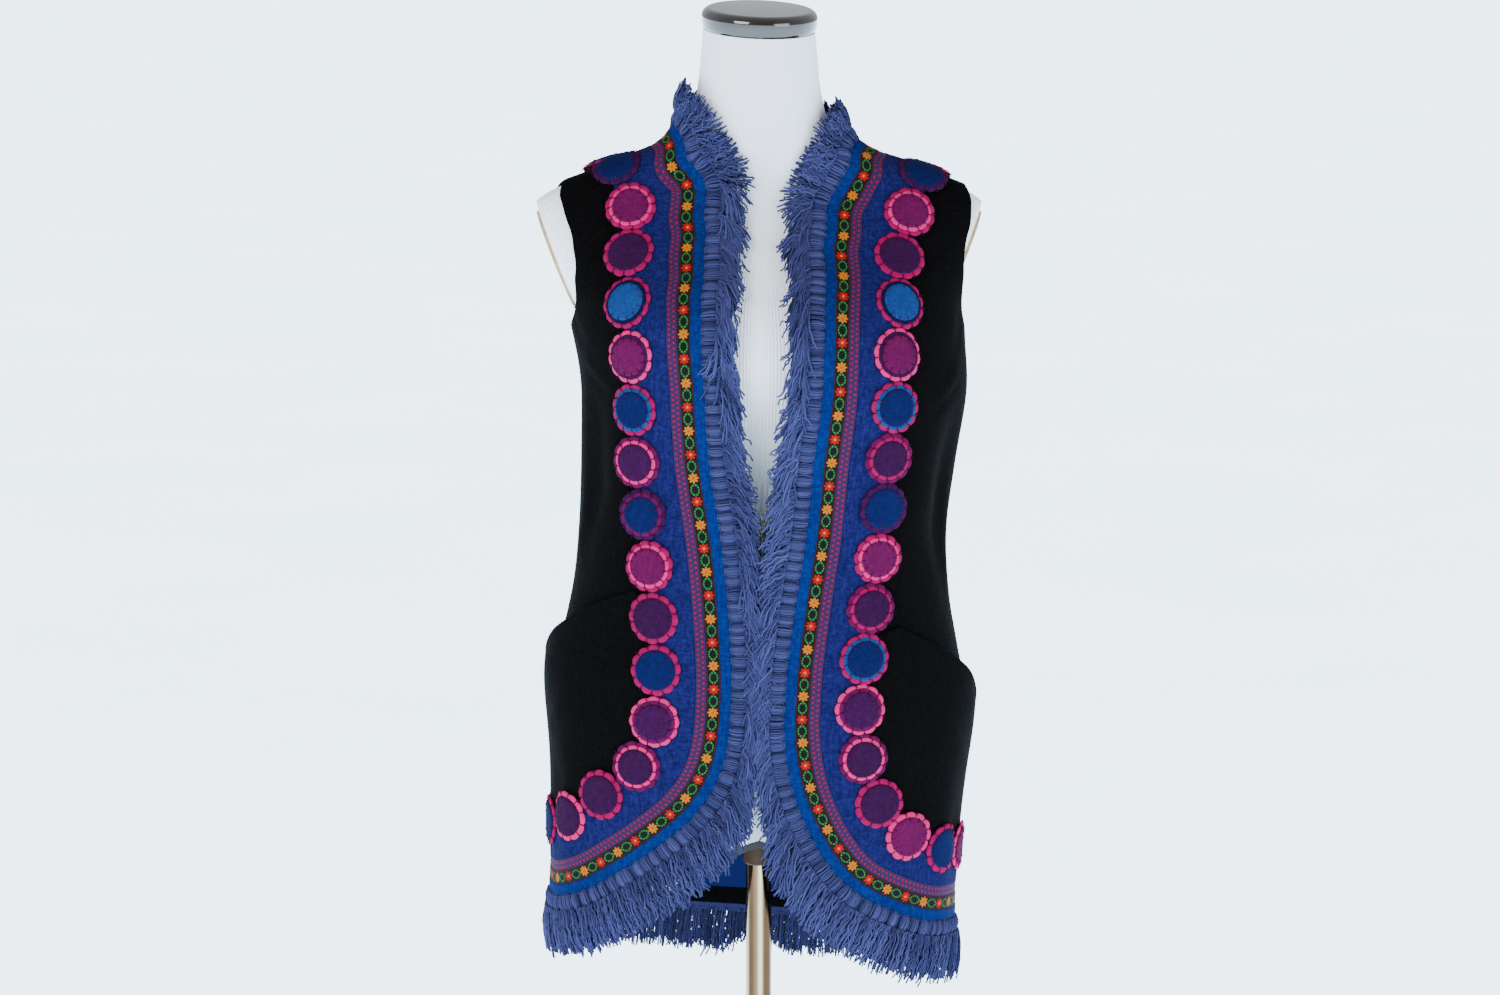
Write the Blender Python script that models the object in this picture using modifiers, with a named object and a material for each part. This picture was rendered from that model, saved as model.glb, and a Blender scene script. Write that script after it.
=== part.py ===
# Felt folk vest on a limbless dress form.
# A black felt vest hangs open on a white jersey torso that stands on a steel pole and a round base.
# A blue felt band, woven ribbons, a looped heading and a long fringe run round its whole edge, with
# a row of three-layered felt discs outside them. The front faces -Y, +X is the viewer's right, and
# the origin is the middle of the base's underside. Tables are in millimetres and degrees.

import math
from collections import namedtuple

import bmesh
import bpy
import numpy as np
from mathutils import Vector, geometry

MM = 0.001

# Driving sizes in millimetres
FELT = 2.2                # body felt
BAND = 1.5                # blue felt band, pockets
LAYER_LIFT = 0.8          # air between a panel and what is sewn to it
SEAM_GAP = 0.5            # between two pieces that are sewn edge to edge
SHOULDER_LIFT = 2.8       # from the form to the middle of the felt that lies on it
GRID = 46.0               # spacing of a panel's inner points
SHOULDER_GRID = 22.0      # the same where the felt bends over the shoulders
SEAM_STEP = 22.0          # longest stretch between two points of a seam
SEAM_BLEND = 60.0         # over this stretch the lines across the trims turn to lie along a seam
RIBBON_STEP = 40.0        # longest stretch of trim between two cross lines
RIBBON_BEND = 18.0        # degrees a trim may bend between two cross lines
DISC_PITCH = 49.0         # along the row of felt discs
DISC_RADIUS = 24.3
DISC_ROW = -54.0          # from the ribbon's middle line, away from the edge
DISC_SIDES = 10
INNER_SIDES = 6
INNER_RADIUS = 16.5
FORM_SIDES = 32
LOCK_PITCH = 19.5         # along the fringe
LOCK_WIDTH = 10.5
LOCK_TIP = 3.4
POLE_RADIUS = 12.7
BASE_RADIUS = 172.0
BASE_THICK = 12.0
CUT_TOP = (206.3, 1321.4)     # the arm's flat cut: distance from the middle, height, at its top
CUT_LOW = (173.0, 1235.8)     # and where it ends under the arm
ARM_PLATE = 3.0
ARCH_APEX = 738.0         # the torso's lower edge arches over the pole
ARCH_FOOT = 600.0
ARCH_HALF_WIDTH = 165.0
ARCH_SHAPE = 1.35         # 1 would be a pointed arch with straight sides, 2 a parabola
ARCH_EDGE = 7.0           # black edge of the arch

# Level sections of the form and of the hanging vest. half_width runs to the side, front and back
# from the section's middle, which lies at centre; slide moves it sideways, sway lowers the +X side,
# nod lowers the front, and square makes its corners fuller.
Ring = namedtuple("Ring", "height half_width front back centre slide sway nod square")
FORM_RINGS = [
    Ring(612, 132, 84, 92, 0, 0, 0, 0, 0.03),
    Ring(672, 148, 92, 100, 0, 0, 0, 0, 0.03),
    Ring(775, 168, 106, 114, 0, 0, 0, 0, 0.03),
    Ring(845, 166, 106, 109, 0, 0, 0, 0, 0.03),
    Ring(995, 122, 85, 79, 0, 0, 0, 0, 0.0),
    Ring(1125, 142, 106, 89, 0, 0, 0, 0, 0.0),
    Ring(1185, 156, 121, 96, 0, 0, 0, 0, 0.0),
    Ring(1230, 171, 116, 101, 2, 0, 0, 0, 0.0),
    Ring(1260, 190, 100, 103, 4, 0, 0, 0, 0.0),
    Ring(1287, 208, 82, 100, 7, 0, 0, 0, 0.0),
    Ring(1310, 219, 67, 92, 10, 0, 0, 0, 0.0),
    Ring(1328, 216, 57, 82, 12, 0, 0, 0, 0.0),
    Ring(1343, 198, 51, 73, 13, 0, 0, 0, 0.0),
    Ring(1355, 168, 48, 66, 13, 0, 0, 0, 0.0),
    Ring(1366, 135, 47, 61, 12, 0, 0, 0, 0.0),
    Ring(1378, 103, 47, 58, 11, 0, 0, 0, 0.0),
    Ring(1391, 79, 48, 56, 9, 0, 0, 0, 0.0),
    Ring(1410, 65, 49, 54, 7, 0, 0, 1, 0.0),
    Ring(1440, 58, 50, 53, 4, 0, 1, 3, 0.0),
    Ring(1468, 55, 50, 52, 2, 0, 1, 5, 0.0),
    Ring(1495, 52.5, 50, 51, 1, 0, 2, 7, 0.0),
]
HANGING_RINGS = [
    Ring(540, 194, 127, 121, 0, -7, 14, 0, 0.04),
    Ring(620, 195, 125, 120, 0, -7, 14, 0, 0.04),
    Ring(700, 195, 125, 120, 0, -5, 14, 0, 0.04),
    Ring(780, 197, 126, 121, 0, -2, 15, 0, 0.04),
    Ring(850, 198, 127, 121, 0, 0, 17, 0, 0.04),
    Ring(888, 195, 127, 120, 0, 2, 17, 0, 0.04),
    Ring(925, 187, 126, 118, 0, 3, 14, 0, 0.04),
    Ring(970, 179, 125, 112, 0, 3, 11, 0, 0.04),
    Ring(1030, 175, 125, 106, 0, 4, 9, 0, 0.04),
    Ring(1095, 178, 128, 105, 0, 9, 7, 0, 0.03),
    Ring(1160, 183, 133, 108, 0, 14, 5, 0, 0.02),
    Ring(1210, 186, 132, 110, 1, 9, 3, 0, 0.01),
    Ring(1243, 190, 122, 111, 3, 5, 1, 0, 0.0),
]
FIRST_LYING_RING = 1270   # above this height the vest lies on the form
LAST_LYING_RING = 1370    # and from here its neck edge stands off a little
NECK_EDGE_RINGS = [
    Ring(1381, 106, 51, 62, 11, 0, 0, 0, 0.0),
    Ring(1394, 87, 52, 61, 9, 0, 0, 0, 0.0),
    Ring(1414, 75, 54, 60, 7, 0, 0, 1, 0.0),
    Ring(1444, 68, 55, 59, 4, 0, 1, 3, 0.0),
    Ring(1472, 65, 55, 58, 2, 0, 1, 5, 0.0),
    Ring(1498, 63, 55, 58, 1, 0, 2, 7, 0.0),
]

# Soft folds of the hanging felt: a swell is a ridge, a negative one a trough
Fold = namedtuple("Fold", "turn spread low high swell")
FOLDS = [
    Fold(68, 8, 990, 1180, -5.0),
    Fold(50, 8, 1000, 1160, 3.0),
    Fold(-64, 8, 1000, 1190, -5.0),
    Fold(-48, 8, 1010, 1160, 2.5),
    Fold(58, 11, 600, 900, 3.5),
    Fold(-60, 11, 600, 900, 3.5),
    Fold(-118, 12, 580, 980, 4.5),
    Fold(-150, 12, 580, 960, -4.0),
    Fold(180, 13, 580, 1000, 4.0),
    Fold(147, 12, 580, 960, -4.0),
    Fold(119, 12, 580, 980, 4.5),
    Fold(157, 9, 970, 1190, -3.5),
    Fold(-160, 9, 970, 1190, -3.5),
]

# The jacquard ribbon's middle line on each front, as seen from the front, from shoulder to side
Spot = namedtuple("Spot", "across height")
RIGHT_FRONT_RIBBON = [
    Spot(-84, 1390), Spot(-73.5, 1360), Spot(-67, 1316), Spot(-67, 1282),
    Spot(-69, 1245), Spot(-68.5, 1210), Spot(-65, 1155), Spot(-62, 1108), Spot(-50, 1018),
    Spot(-43.5, 940), Spot(-42.2, 885), Spot(-46, 838), Spot(-55, 808), Spot(-73, 780),
    Spot(-107, 748), Spot(-140, 722), Spot(-172, 699), Spot(-190, 688),
]
LEFT_FRONT_RIBBON = [
    Spot(99, 1373), Spot(96, 1358), Spot(85, 1339), Spot(77, 1302), Spot(77, 1262),
    Spot(75, 1215), Spot(72, 1154), Spot(66, 1105), Spot(58, 1024), Spot(50, 970),
    Spot(42, 905), Spot(39.5, 860), Spot(43.5, 815), Spot(55, 775), Spot(75, 735),
    Spot(97, 708), Spot(128, 687), Spot(160, 671), Spot(184, 660),
]
# The same line where the front doesn't show it, by turn round the body and ring height
Turned = namedtuple("Turned", "turn height")
SHOULDER_POINT = {"right": Turned(-90, 1393), "left": Turned(90, 1383)}
SIDE_POINT = {"right": Turned(-90, 667), "left": Turned(90, 667)}
BACK_HEM_RIBBON = [Turned(-115, 656), Turned(-145, 640), Turned(-180, 633), Turned(-215, 639),
                   Turned(-245, 655)]
BACK_NECK_RIBBON = [Turned(110, 1377), Turned(140, 1373), Turned(180, 1371), Turned(220, 1375),
                    Turned(250, 1384)]
# The armhole: turn back from the side seam, to the front or to the back, and ring height
FRONT_ARMHOLE = {
    "right": [Turned(0, 1214), Turned(11, 1221), Turned(20, 1238), Turned(28, 1262),
              Turned(35, 1290), Turned(37, 1310), Turned(34, 1327), Turned(26, 1341),
              Turned(13, 1351), Turned(0, 1355)],
    "left": [Turned(0, 1214), Turned(6, 1223), Turned(12, 1240), Turned(18, 1264),
             Turned(24, 1290), Turned(27, 1310), Turned(26, 1325), Turned(21, 1337),
             Turned(12, 1346), Turned(0, 1350)],
}
BACK_ARMHOLE = {
    "right": [Turned(0, 1214), Turned(10, 1222), Turned(18, 1240), Turned(25, 1264),
              Turned(30, 1290), Turned(31, 1312), Turned(28, 1329), Turned(21, 1342),
              Turned(11, 1351), Turned(0, 1355)],
    "left": [Turned(0, 1214), Turned(10, 1222), Turned(18, 1240), Turned(25, 1264),
             Turned(30, 1290), Turned(31, 1312), Turned(28, 1327), Turned(22, 1338),
             Turned(12, 1346), Turned(0, 1350)],
}
# The pocket's slanting mouth, from the disc row to the side seam
RIGHT_POCKET_MOUTH = [Turned(-40, 973), Turned(-56, 950), Turned(-72, 920), Turned(-90, 884)]
LEFT_POCKET_MOUTH = [Turned(42, 952), Turned(58, 930), Turned(74, 904), Turned(90, 872)]
POCKET_GAPE = 8.5         # how far the mouth's outer corner stands off
POCKET_GAPE_DEPTH = 75.0  # and how far down this is felt
POCKET_STEP = 20.0        # between two points of the mouth's edge

# Trims side by side across the edge: start and end from the ribbon's middle line, towards the
# edge, lanes the cross lines between them, thickness, and the name's first word
Trim = namedtuple("Trim", "name start end lanes thickness")
TRIMS = [
    Trim("blue_band", -58.0, -17.2, 2, BAND),
    Trim("violet_ribbon", -16.8, -6.6, 1, 1.2),
    Trim("flower_ribbon", -6.2, 6.2, 1, 1.6),
    Trim("bright_strip", 6.6, 15.6, 1, 2.0),
]
PANEL_LANES = (-58.0, -37.6, -17.2, -6.4, 6.4, 16.0, 25.5)     # rows of panel points under the trims
HEADING_START = 18.4
HEADING_END = 28.0
HEADING_LIFT = 1.0        # above the other trims' underside
HEADING_THICK = 2.8
POCKET_EDGE = -58.6
LOCK_LENGTH = 42.0
NECK_LOCK_LENGTH = 33.0
LOCK_LEAN = 46.0          # degrees towards the ground where the edge is upright
CLOSED_LEAN = 16.0        # and further where the two fronts nearly meet
LOCK_CROSSING = {"left_front": 5.0, "right_front": -1.2}    # lift of the tips, so that locks pass
RISING = 0.25             # a lock whose way climbs more than this stands up, as at the neck

JERSEY = ("jersey", (0.86, 0.86, 0.85), 0.85, 0.0)
BLACK_GLOSS = ("black_gloss", (0.015, 0.013, 0.013), 0.15, 0.0)
ARM_WOOD = ("arm_wood", (0.42, 0.27, 0.15), 0.5, 0.0)
BLACK_TAPE = ("black_tape", (0.02, 0.02, 0.022), 0.7, 0.0)
STEEL = ("steel", (0.75, 0.76, 0.78), 0.15, 1.0)
BROWN_FITTING = ("brown_fitting", (0.13, 0.07, 0.04), 0.45, 0.0)
BLACK_FELT = ("black_felt", (0.012, 0.012, 0.013), 0.95, 0.0)
BLUE_FELT = ("blue_felt", (0.05, 0.06, 0.30), 0.95, 0.0)
VIOLET = ("violet_ribbon", (0.25, 0.03, 0.30), 0.7, 0.0)
FLOWERS = ("flower_ribbon", (0.09, 0.07, 0.03), 0.6, 0.0)
BRIGHT_BLUE = ("bright_blue", (0.01, 0.07, 0.50), 0.8, 0.0)
YARN = ("fringe_yarn", (0.17, 0.17, 0.62), 0.9, 0.0)
PINK_FELT = ("pink_felt", (0.75, 0.10, 0.38), 0.95, 0.0)
BLUE_LINING = ("blue_lining", (0.02, 0.06, 0.42), 0.6, 0.0)


# Scene set-up
for old in list(bpy.data.objects):
    bpy.data.objects.remove(old, do_unlink=True)
PARTS = bpy.data.collections.new("felt_vest_on_dress_form")
CUTTERS = bpy.data.collections.new("cutters")
bpy.context.scene.collection.children.link(PARTS)
bpy.context.scene.collection.children.link(CUTTERS)


def material(name, colour, roughness, metallic):
    made = bpy.data.materials.new(name)
    made.use_nodes = True
    shader = made.node_tree.nodes["Principled BSDF"]
    shader.inputs["Base Color"].default_value = (*colour, 1.0)
    shader.inputs["Roughness"].default_value = roughness
    shader.inputs["Metallic"].default_value = metallic
    made.diffuse_color = (*colour, 1.0)
    return made


def make_object(name, mesh, look, smooth=True):
    """Link a finished mesh as one named part with its own material."""
    mesh.materials.clear()
    mesh.materials.append(material(f"{look[0]}_{name}", *look[1:]))
    made = bpy.data.objects.new(name, mesh)
    PARTS.objects.link(made)
    if smooth:
        mesh.shade_smooth()
        mesh.set_sharp_from_angle(angle=math.radians(40))
    return made


def mesh_from(name, points, faces):
    """A mesh of points in metres, with its faces turned outward."""
    built = bmesh.new()
    corners = [built.verts.new(point) for point in points]
    for face in faces:
        built.faces.new([corners[i] for i in face])
    bmesh.ops.recalc_face_normals(built, faces=built.faces)
    if built.calc_volume(signed=True) < 0:
        bmesh.ops.reverse_faces(built, faces=built.faces)
    mesh = bpy.data.meshes.new(name)
    built.to_mesh(mesh)
    built.free()
    return mesh


# The body surface: a smooth loft through level rings, by turn (0 in front, 90 at +X) and level
class Loft:
    def __init__(self, rings, folds=()):
        self.rows = np.array(rings, float)
        self.rows[:, :8] *= MM
        self.folds = folds
        self.top = len(rings) - 1
        fine = np.linspace(0, self.top, 40 * self.top + 1)
        row = self.row(fine)
        run = np.hypot(np.diff(row[:, 0]), np.diff(row[:, 1]))
        self.fine = fine
        self.run = np.concatenate([[0], np.cumsum(run)])
        self.heights = np.maximum.accumulate(row[:, 0])

    def level(self, height):
        """The level whose ring lies at this height in millimetres."""
        return np.interp(np.asarray(height) * MM, self.heights, self.fine)

    def row(self, level):
        """Ring sizes at any level, by a cubic through the table's rows."""
        level = np.clip(np.asarray(level, float), 0, self.top)
        i = np.clip(np.floor(level).astype(int), 0, self.top - 1)
        f = (level - i)[..., None]
        rows = self.rows
        here, above = rows[i], rows[i + 1]
        below = np.where((i > 0)[..., None], rows[np.maximum(i - 1, 0)], 2 * here - above)
        last = np.where((i < self.top - 1)[..., None], rows[np.minimum(i + 2, self.top)],
                        2 * above - here)
        slope, next_slope = (above - below) / 2, (last - here) / 2
        f2, f3 = f * f, f * f * f
        return ((2 * f3 - 3 * f2 + 1) * here + (f3 - 2 * f2 + f) * slope
                + (3 * f2 - 2 * f3) * above + (f3 - f2) * next_slope)

    def point(self, turn, level):
        turn = np.asarray(turn, float)
        row = self.row(level)
        height, half_width, front, back, centre, slide, sway, nod, square = np.moveaxis(row, -1, 0)
        side, ahead = np.sin(turn), np.cos(turn)
        full = 1 + square * np.sin(2 * turn) ** 2
        depth = np.where(ahead > 0, front, back)
        swell = sum(fold_height(fold, turn, height) for fold in self.folds)
        x = slide + (half_width * full + swell) * side
        y = centre - (depth * full + swell) * ahead
        z = height - sway * side - nod * ahead
        return np.stack([x, y, z], -1)

    def normal(self, turn, level, small=1e-3):
        level = np.clip(level, 20 * small, self.top - 20 * small)
        along = self.point(turn + small, level) - self.point(turn - small, level)
        up = self.point(turn, level + 20 * small) - self.point(turn, level - 20 * small)
        return unit(np.cross(along, up))

    def nearest(self, target, turn, level, rounds=6, small=1e-4):
        """Turn and level of the surface point nearest to each target."""
        for _ in range(rounds):
            miss = self.point(turn, level) - target
            du = (self.point(turn + small, level) - target - miss) / small
            dv = (self.point(turn, level + small) - target - miss) / small
            turn, level = least_step(miss, du, dv, turn, level, self.top)
        return turn, level

    def seen_from_front(self, spots, start):
        """Turn and level of the front points that show at these places from the front."""
        target = np.array(spots) * MM
        turn = np.full(len(target), start)
        level = self.level(target[:, 1] / MM)
        small = 1e-4
        for _ in range(60):
            miss = self.point(turn, level)[:, [0, 2]] - target
            du = (self.point(turn + small, level)[:, [0, 2]] - target - miss) / small
            dv = (self.point(turn, level + small)[:, [0, 2]] - target - miss) / small
            turn, level = least_step(miss, du, dv, turn, level, self.top)
        return turn, level

    def travel(self, turn, level, heading, distance):
        """Walk each point over the surface in its heading, millimetres far; also the last heading."""
        steps = max(1, math.ceil(abs(distance) / 9.0))
        here = self.point(turn, level)
        heading = heading * math.copysign(1.0, distance)
        for _ in range(steps):
            normal = self.normal(turn, level)
            heading = unit(heading - normal * np.sum(heading * normal, -1, keepdims=True))
            target = here + heading * (abs(distance) / steps * MM)
            turn, level = self.nearest(target, turn, level)
            there = self.point(turn, level)
            heading = unit(there - here)
            here = there
        return turn, level, heading

    def flat(self, turn, level):
        """Flat working coordinates in millimetres for a panel's outline."""
        return np.stack([turn * 150.0, np.interp(level, self.fine, self.run) / MM], -1)

    def unflat(self, places):
        return places[:, 0] / 150.0, np.interp(places[:, 1] * MM, self.run, self.fine)


def unit(vectors):
    return vectors / np.linalg.norm(vectors, axis=-1, keepdims=True)


def least_step(miss, du, dv, turn, level, top):
    """One least-squares step towards the point where the miss is smallest."""
    a = np.sum(du * du, -1)
    b = np.sum(du * dv, -1)
    d = np.sum(dv * dv, -1)
    e = -np.sum(du * miss, -1)
    f = -np.sum(dv * miss, -1)
    det = a * d - b * b + 1e-18
    turn = turn + np.clip((d * e - b * f) / det, -0.3, 0.3)
    level = np.clip(level + np.clip((a * f - b * e) / det, -1, 1), 0, top)
    return turn, level


def smooth_step(value):
    value = np.clip(value, 0, 1)
    return value * value * (3 - 2 * value)


def fold_height(fold, turn, height):
    """How far one fold moves the surface out, fading at its ends."""
    apart = np.angle(np.exp(1j * (turn - math.radians(fold.turn))))
    across = np.exp(-(apart / math.radians(fold.spread)) ** 2)
    fade = 70 * MM
    rise = smooth_step((height - fold.low * MM) / fade)
    fall = smooth_step((fold.high * MM - height) / fade)
    return fold.swell * MM * across * rise * fall


def lying_ring(ring):
    """A form ring grown by the lift of the felt that lies on it."""
    lift = SHOULDER_LIFT
    return ring._replace(height=ring.height + lift, half_width=ring.half_width + lift,
                         front=ring.front + lift, back=ring.back + lift)


LYING_RINGS = [lying_ring(ring) for ring in FORM_RINGS
               if FIRST_LYING_RING < ring.height < LAST_LYING_RING]
FORM = Loft(FORM_RINGS)
VEST = Loft(HANGING_RINGS + LYING_RINGS + NECK_EDGE_RINGS, FOLDS)


# Lines on the vest
def turned(points):
    """Turn in radians and level of a table of turns and ring heights."""
    table = np.array(points, float)
    return np.radians(table[:, 0]), VEST.level(table[:, 1])


def smooth_line(turn, level, count=400):
    """Even points along a smooth line through the given ones."""
    places = VEST.point(turn, level)
    knots = np.concatenate([[0], np.cumsum(np.linalg.norm(np.diff(places, axis=0), axis=1))])
    values = np.stack([turn, level], -1)
    slopes = np.gradient(values, knots, axis=0)
    at = np.linspace(0, knots[-1], count)
    i = np.clip(np.searchsorted(knots, at) - 1, 0, len(knots) - 2)
    width = (knots[i + 1] - knots[i])[:, None]
    f = ((at - knots[i])[:, None]) / width
    f2, f3 = f * f, f * f * f
    line = ((2 * f3 - 3 * f2 + 1) * values[i] + (f3 - 2 * f2 + f) * width * slopes[i]
            + (3 * f2 - 2 * f3) * values[i + 1] + (f3 - f2) * width * slopes[i + 1])
    return line[:, 0], line[:, 1]


def front_line(spots, shoulder, side):
    """The ribbon's middle line of one front, from its shoulder seam to its side seam."""
    start = math.radians(math.copysign(40, shoulder.turn))
    turn, level = VEST.seen_from_front(spots, start)
    ends_turn, ends_level = turned([shoulder, side])
    return smooth_line(np.concatenate([ends_turn[:1], turn, ends_turn[1:]]),
                       np.concatenate([ends_level[:1], level, ends_level[1:]]))


def seam_inset(level):
    """Half the seam gap as a turn, at a shoulder or side seam."""
    row = VEST.row(level)
    return SEAM_GAP / 2 * MM / ((row[..., 2] + row[..., 3]) / 2)


class Edge:
    """One stretch of the vest's trimmed edge, its middle line turned so that the edge lies at
    the left of normal x way: down the right front, round the back hem, up the left front and
    round the back neck."""
    def __init__(self, name, turn, level):
        self.name = name
        places = VEST.point(turn, level)
        self.run = np.concatenate([[0], np.cumsum(np.linalg.norm(np.diff(places, axis=0), axis=1))])
        self.turn = turn
        self.level = level
        self.length = self.run[-1] / MM
        self.into = np.sign(turn[len(turn) // 2] - turn[[0, -1]])
        self.cross = self.stations(RIBBON_STEP, RIBBON_BEND)
        self.lanes = [self.lane(self.cross, across) for across in PANEL_LANES]

    def at(self, distance):
        """Turn, level and edgeward heading at distances in millimetres along the line."""
        distance = np.asarray(distance, float) * MM
        turn = np.interp(distance, self.run, self.turn)
        level = np.interp(distance, self.run, self.level)
        reach = 4 * MM
        ahead = np.clip(distance + reach, 0, self.run[-1])
        behind = np.clip(distance - reach, 0, self.run[-1])
        next_place, last_place = (VEST.point(np.interp(reached, self.run, self.turn),
                                             np.interp(reached, self.run, self.level))
                                  for reached in (ahead, behind))
        heading = unit(np.cross(VEST.normal(turn, level), unit(next_place - last_place)))
        for end in (0, -1):
            near = smooth_step(1 - np.abs(distance - self.run[end]) / (SEAM_BLEND * MM))[..., None]
            seam_way = unit(VEST.point(self.turn[end], self.level[end] + 0.05)
                            - VEST.point(self.turn[end], self.level[end] - 0.05))
            seam_way = seam_way * np.sign(np.sum(heading * seam_way, -1, keepdims=True))
            heading = unit(heading * (1 - near) + seam_way * near)
        return turn, level, heading

    def stations(self, step, bend):
        """Distances along the line that keep each stretch short and nearly straight."""
        fine = np.linspace(0, self.length, 500)
        turn, level, heading = self.at(fine)
        normal = VEST.normal(turn, level)
        bent = np.arccos(np.clip(np.sum(normal[1:] * normal[:-1], -1), -1, 1))
        turned_by = np.arccos(np.clip(np.sum(heading[1:] * heading[:-1], -1), -1, 1))
        cost = np.concatenate([[0], np.cumsum(np.maximum(
            np.diff(fine) / step, np.maximum(bent, turned_by) / math.radians(bend)))])
        count = math.ceil(cost[-1])
        return np.interp(np.linspace(0, cost[-1], count + 1), cost, fine)

    def end_levels(self, end):
        """Levels of the panel lanes where they meet the seam at one end."""
        return [level[end] for turn, level in self.lanes]

    def lane(self, distance, across, ends=True):
        """Turn and level of points across millimetres edgeward of the line; the first and last
        lie on the seams."""
        turn, level, heading = self.at(distance)
        if across:
            turn, level, heading = VEST.travel(turn, level, heading, across)
        if ends:
            turn, level = turn.copy(), level.copy()
            turn[0] = self.turn[0] + self.into[0] * seam_inset(level[0])
            turn[-1] = self.turn[-1] + self.into[1] * seam_inset(level[-1])
        return turn, level


right_line = front_line(RIGHT_FRONT_RIBBON, SHOULDER_POINT["right"], SIDE_POINT["right"])
left_line = front_line(LEFT_FRONT_RIBBON, SHOULDER_POINT["left"], SIDE_POINT["left"])
hem_side = Turned(-270, SIDE_POINT["left"].height)
neck_side = Turned(270, SHOULDER_POINT["right"].height)
hem_line = smooth_line(*turned([SIDE_POINT["right"], *BACK_HEM_RIBBON, hem_side]))
neck_line = smooth_line(*turned([SHOULDER_POINT["left"], *BACK_NECK_RIBBON, neck_side]))
EDGES = {
    "right_front": Edge("right_front", *right_line),
    "back_hem": Edge("back_hem", *hem_line),
    "left_front": Edge("left_front", left_line[0][::-1], left_line[1][::-1]),
    "back_neck": Edge("back_neck", *neck_line),
}


# Sheets
def lifted(turn, level, height):
    """Points of the vest's surface moved out by millimetres, one value or one for each."""
    height = np.broadcast_to(np.asarray(height, float), np.shape(turn))
    return VEST.point(turn, level) + VEST.normal(turn, level) * (height * MM)[..., None]


def sheet(name, turn, level, faces, low, high, look):
    """A cloth piece: a wall between two heights over the same points of the vest's surface. Its
    neighbours use the same surface and directions, so layers stay apart without touching."""
    count = len(turn)
    points = np.concatenate([lifted(turn, level, low), lifted(turn, level, high)])
    rim = {}
    for face in faces:
        for corner, after in zip(face, face[1:] + face[:1]):
            if rim.pop((after, corner), None) is None:
                rim[(corner, after)] = True
    solid = [face[::-1] for face in faces]
    solid += [tuple(corner + count for corner in face) for face in faces]
    solid += [(corner, after, after + count, corner + count) for corner, after in rim]
    return make_object(name, mesh_from(name, points, solid), look)


def panel_surface(outline, lines=(), spots=(), edges_above=()):
    """Turns, levels and triangles of a panel inside an outline, over an even grid, given lines and
    given spots. Under the trims of the edges above it, the lines alone give the points."""
    border = VEST.flat(*outline)
    trimmed = [VEST.flat(*join_ends(lanes[0], lanes[-1])) for lanes in edges_above]
    places = [border]
    edges = []
    used = len(border)
    for turn, level in lines:
        places.append(VEST.flat(turn, level))
        edges.extend((used + i, used + i + 1) for i in range(len(turn) - 1))
        used += len(turn)
    for turn, level in spots:
        places.append(outside(VEST.flat(turn, level), trimmed))
    fixed = np.concatenate(places)
    shoulder = VEST.flat(0.0, VEST.level(FIRST_LYING_RING))[1]
    for spacing, low, high in ((GRID, 0.0, shoulder), (SHOULDER_GRID, shoulder, 1e4)):
        grid = even_grid(border, spacing, low, high)
        if len(grid):
            gap = np.min(np.linalg.norm(grid[:, None] - fixed[None], axis=-1), axis=1)
            places.append(outside(grid[inside(grid, border) & (gap > spacing * 0.5)], trimmed))
    places = np.concatenate(places)
    ring = list(range(len(border)))
    out = geometry.delaunay_2d_cdt([Vector(place) for place in places], edges, [ring], 1, 1e-3)
    found = np.array([tuple(place) for place in out[0]])
    faces = [facing_up(found, face) for face in out[2]]
    return *VEST.unflat(found), faces


def outside(places, borders):
    """The places that lie in none of the borders."""
    for border in borders:
        places = places[~inside(places, border)]
    return places


def even_grid(border, spacing, low, high):
    """Places of a staggered grid over a border's extent, between two heights, from one origin."""
    first, last = border.min(0), border.max(0)
    rows = range(math.ceil(max(low, first[1]) / spacing), math.ceil(min(high, last[1]) / spacing))
    return np.array([((column + row % 2 / 2) * spacing, row * spacing) for row in rows
                     for column in range(math.floor(first[0] / spacing), math.ceil(last[0] / spacing))])


def facing_up(places, face):
    """A flat triangle's corners in the order that turns left."""
    a, b, c = (places[i] for i in face)
    turn = (b[0] - a[0]) * (c[1] - a[1]) - (b[1] - a[1]) * (c[0] - a[0])
    return tuple(face) if turn > 0 else tuple(face)[::-1]


def inside(places, outline):
    """Which places lie inside a closed outline, by counting crossings."""
    x, y = places[:, 0][:, None], places[:, 1][:, None]
    x1, y1 = outline[:, 0][None], outline[:, 1][None]
    x2, y2 = np.roll(outline, -1, 0)[:, 0][None], np.roll(outline, -1, 0)[:, 1][None]
    crosses = (y1 > y) != (y2 > y)
    where = (x2 - x1) * (y - y1) / np.where(y2 == y1, 1e-9, y2 - y1) + x1
    return np.sum(crosses & (x < where), axis=1) % 2 == 1


def even(turn, level, spacing):
    """A line's points again, evenly spaced, ends kept."""
    places = VEST.point(turn, level)
    run = np.concatenate([[0], np.cumsum(np.linalg.norm(np.diff(places, axis=0), axis=1))])
    count = max(2, math.ceil(run[-1] / MM / spacing) + 1)
    at = np.linspace(0, run[-1], count)
    return np.interp(at, run, turn), np.interp(at, run, level)


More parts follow.
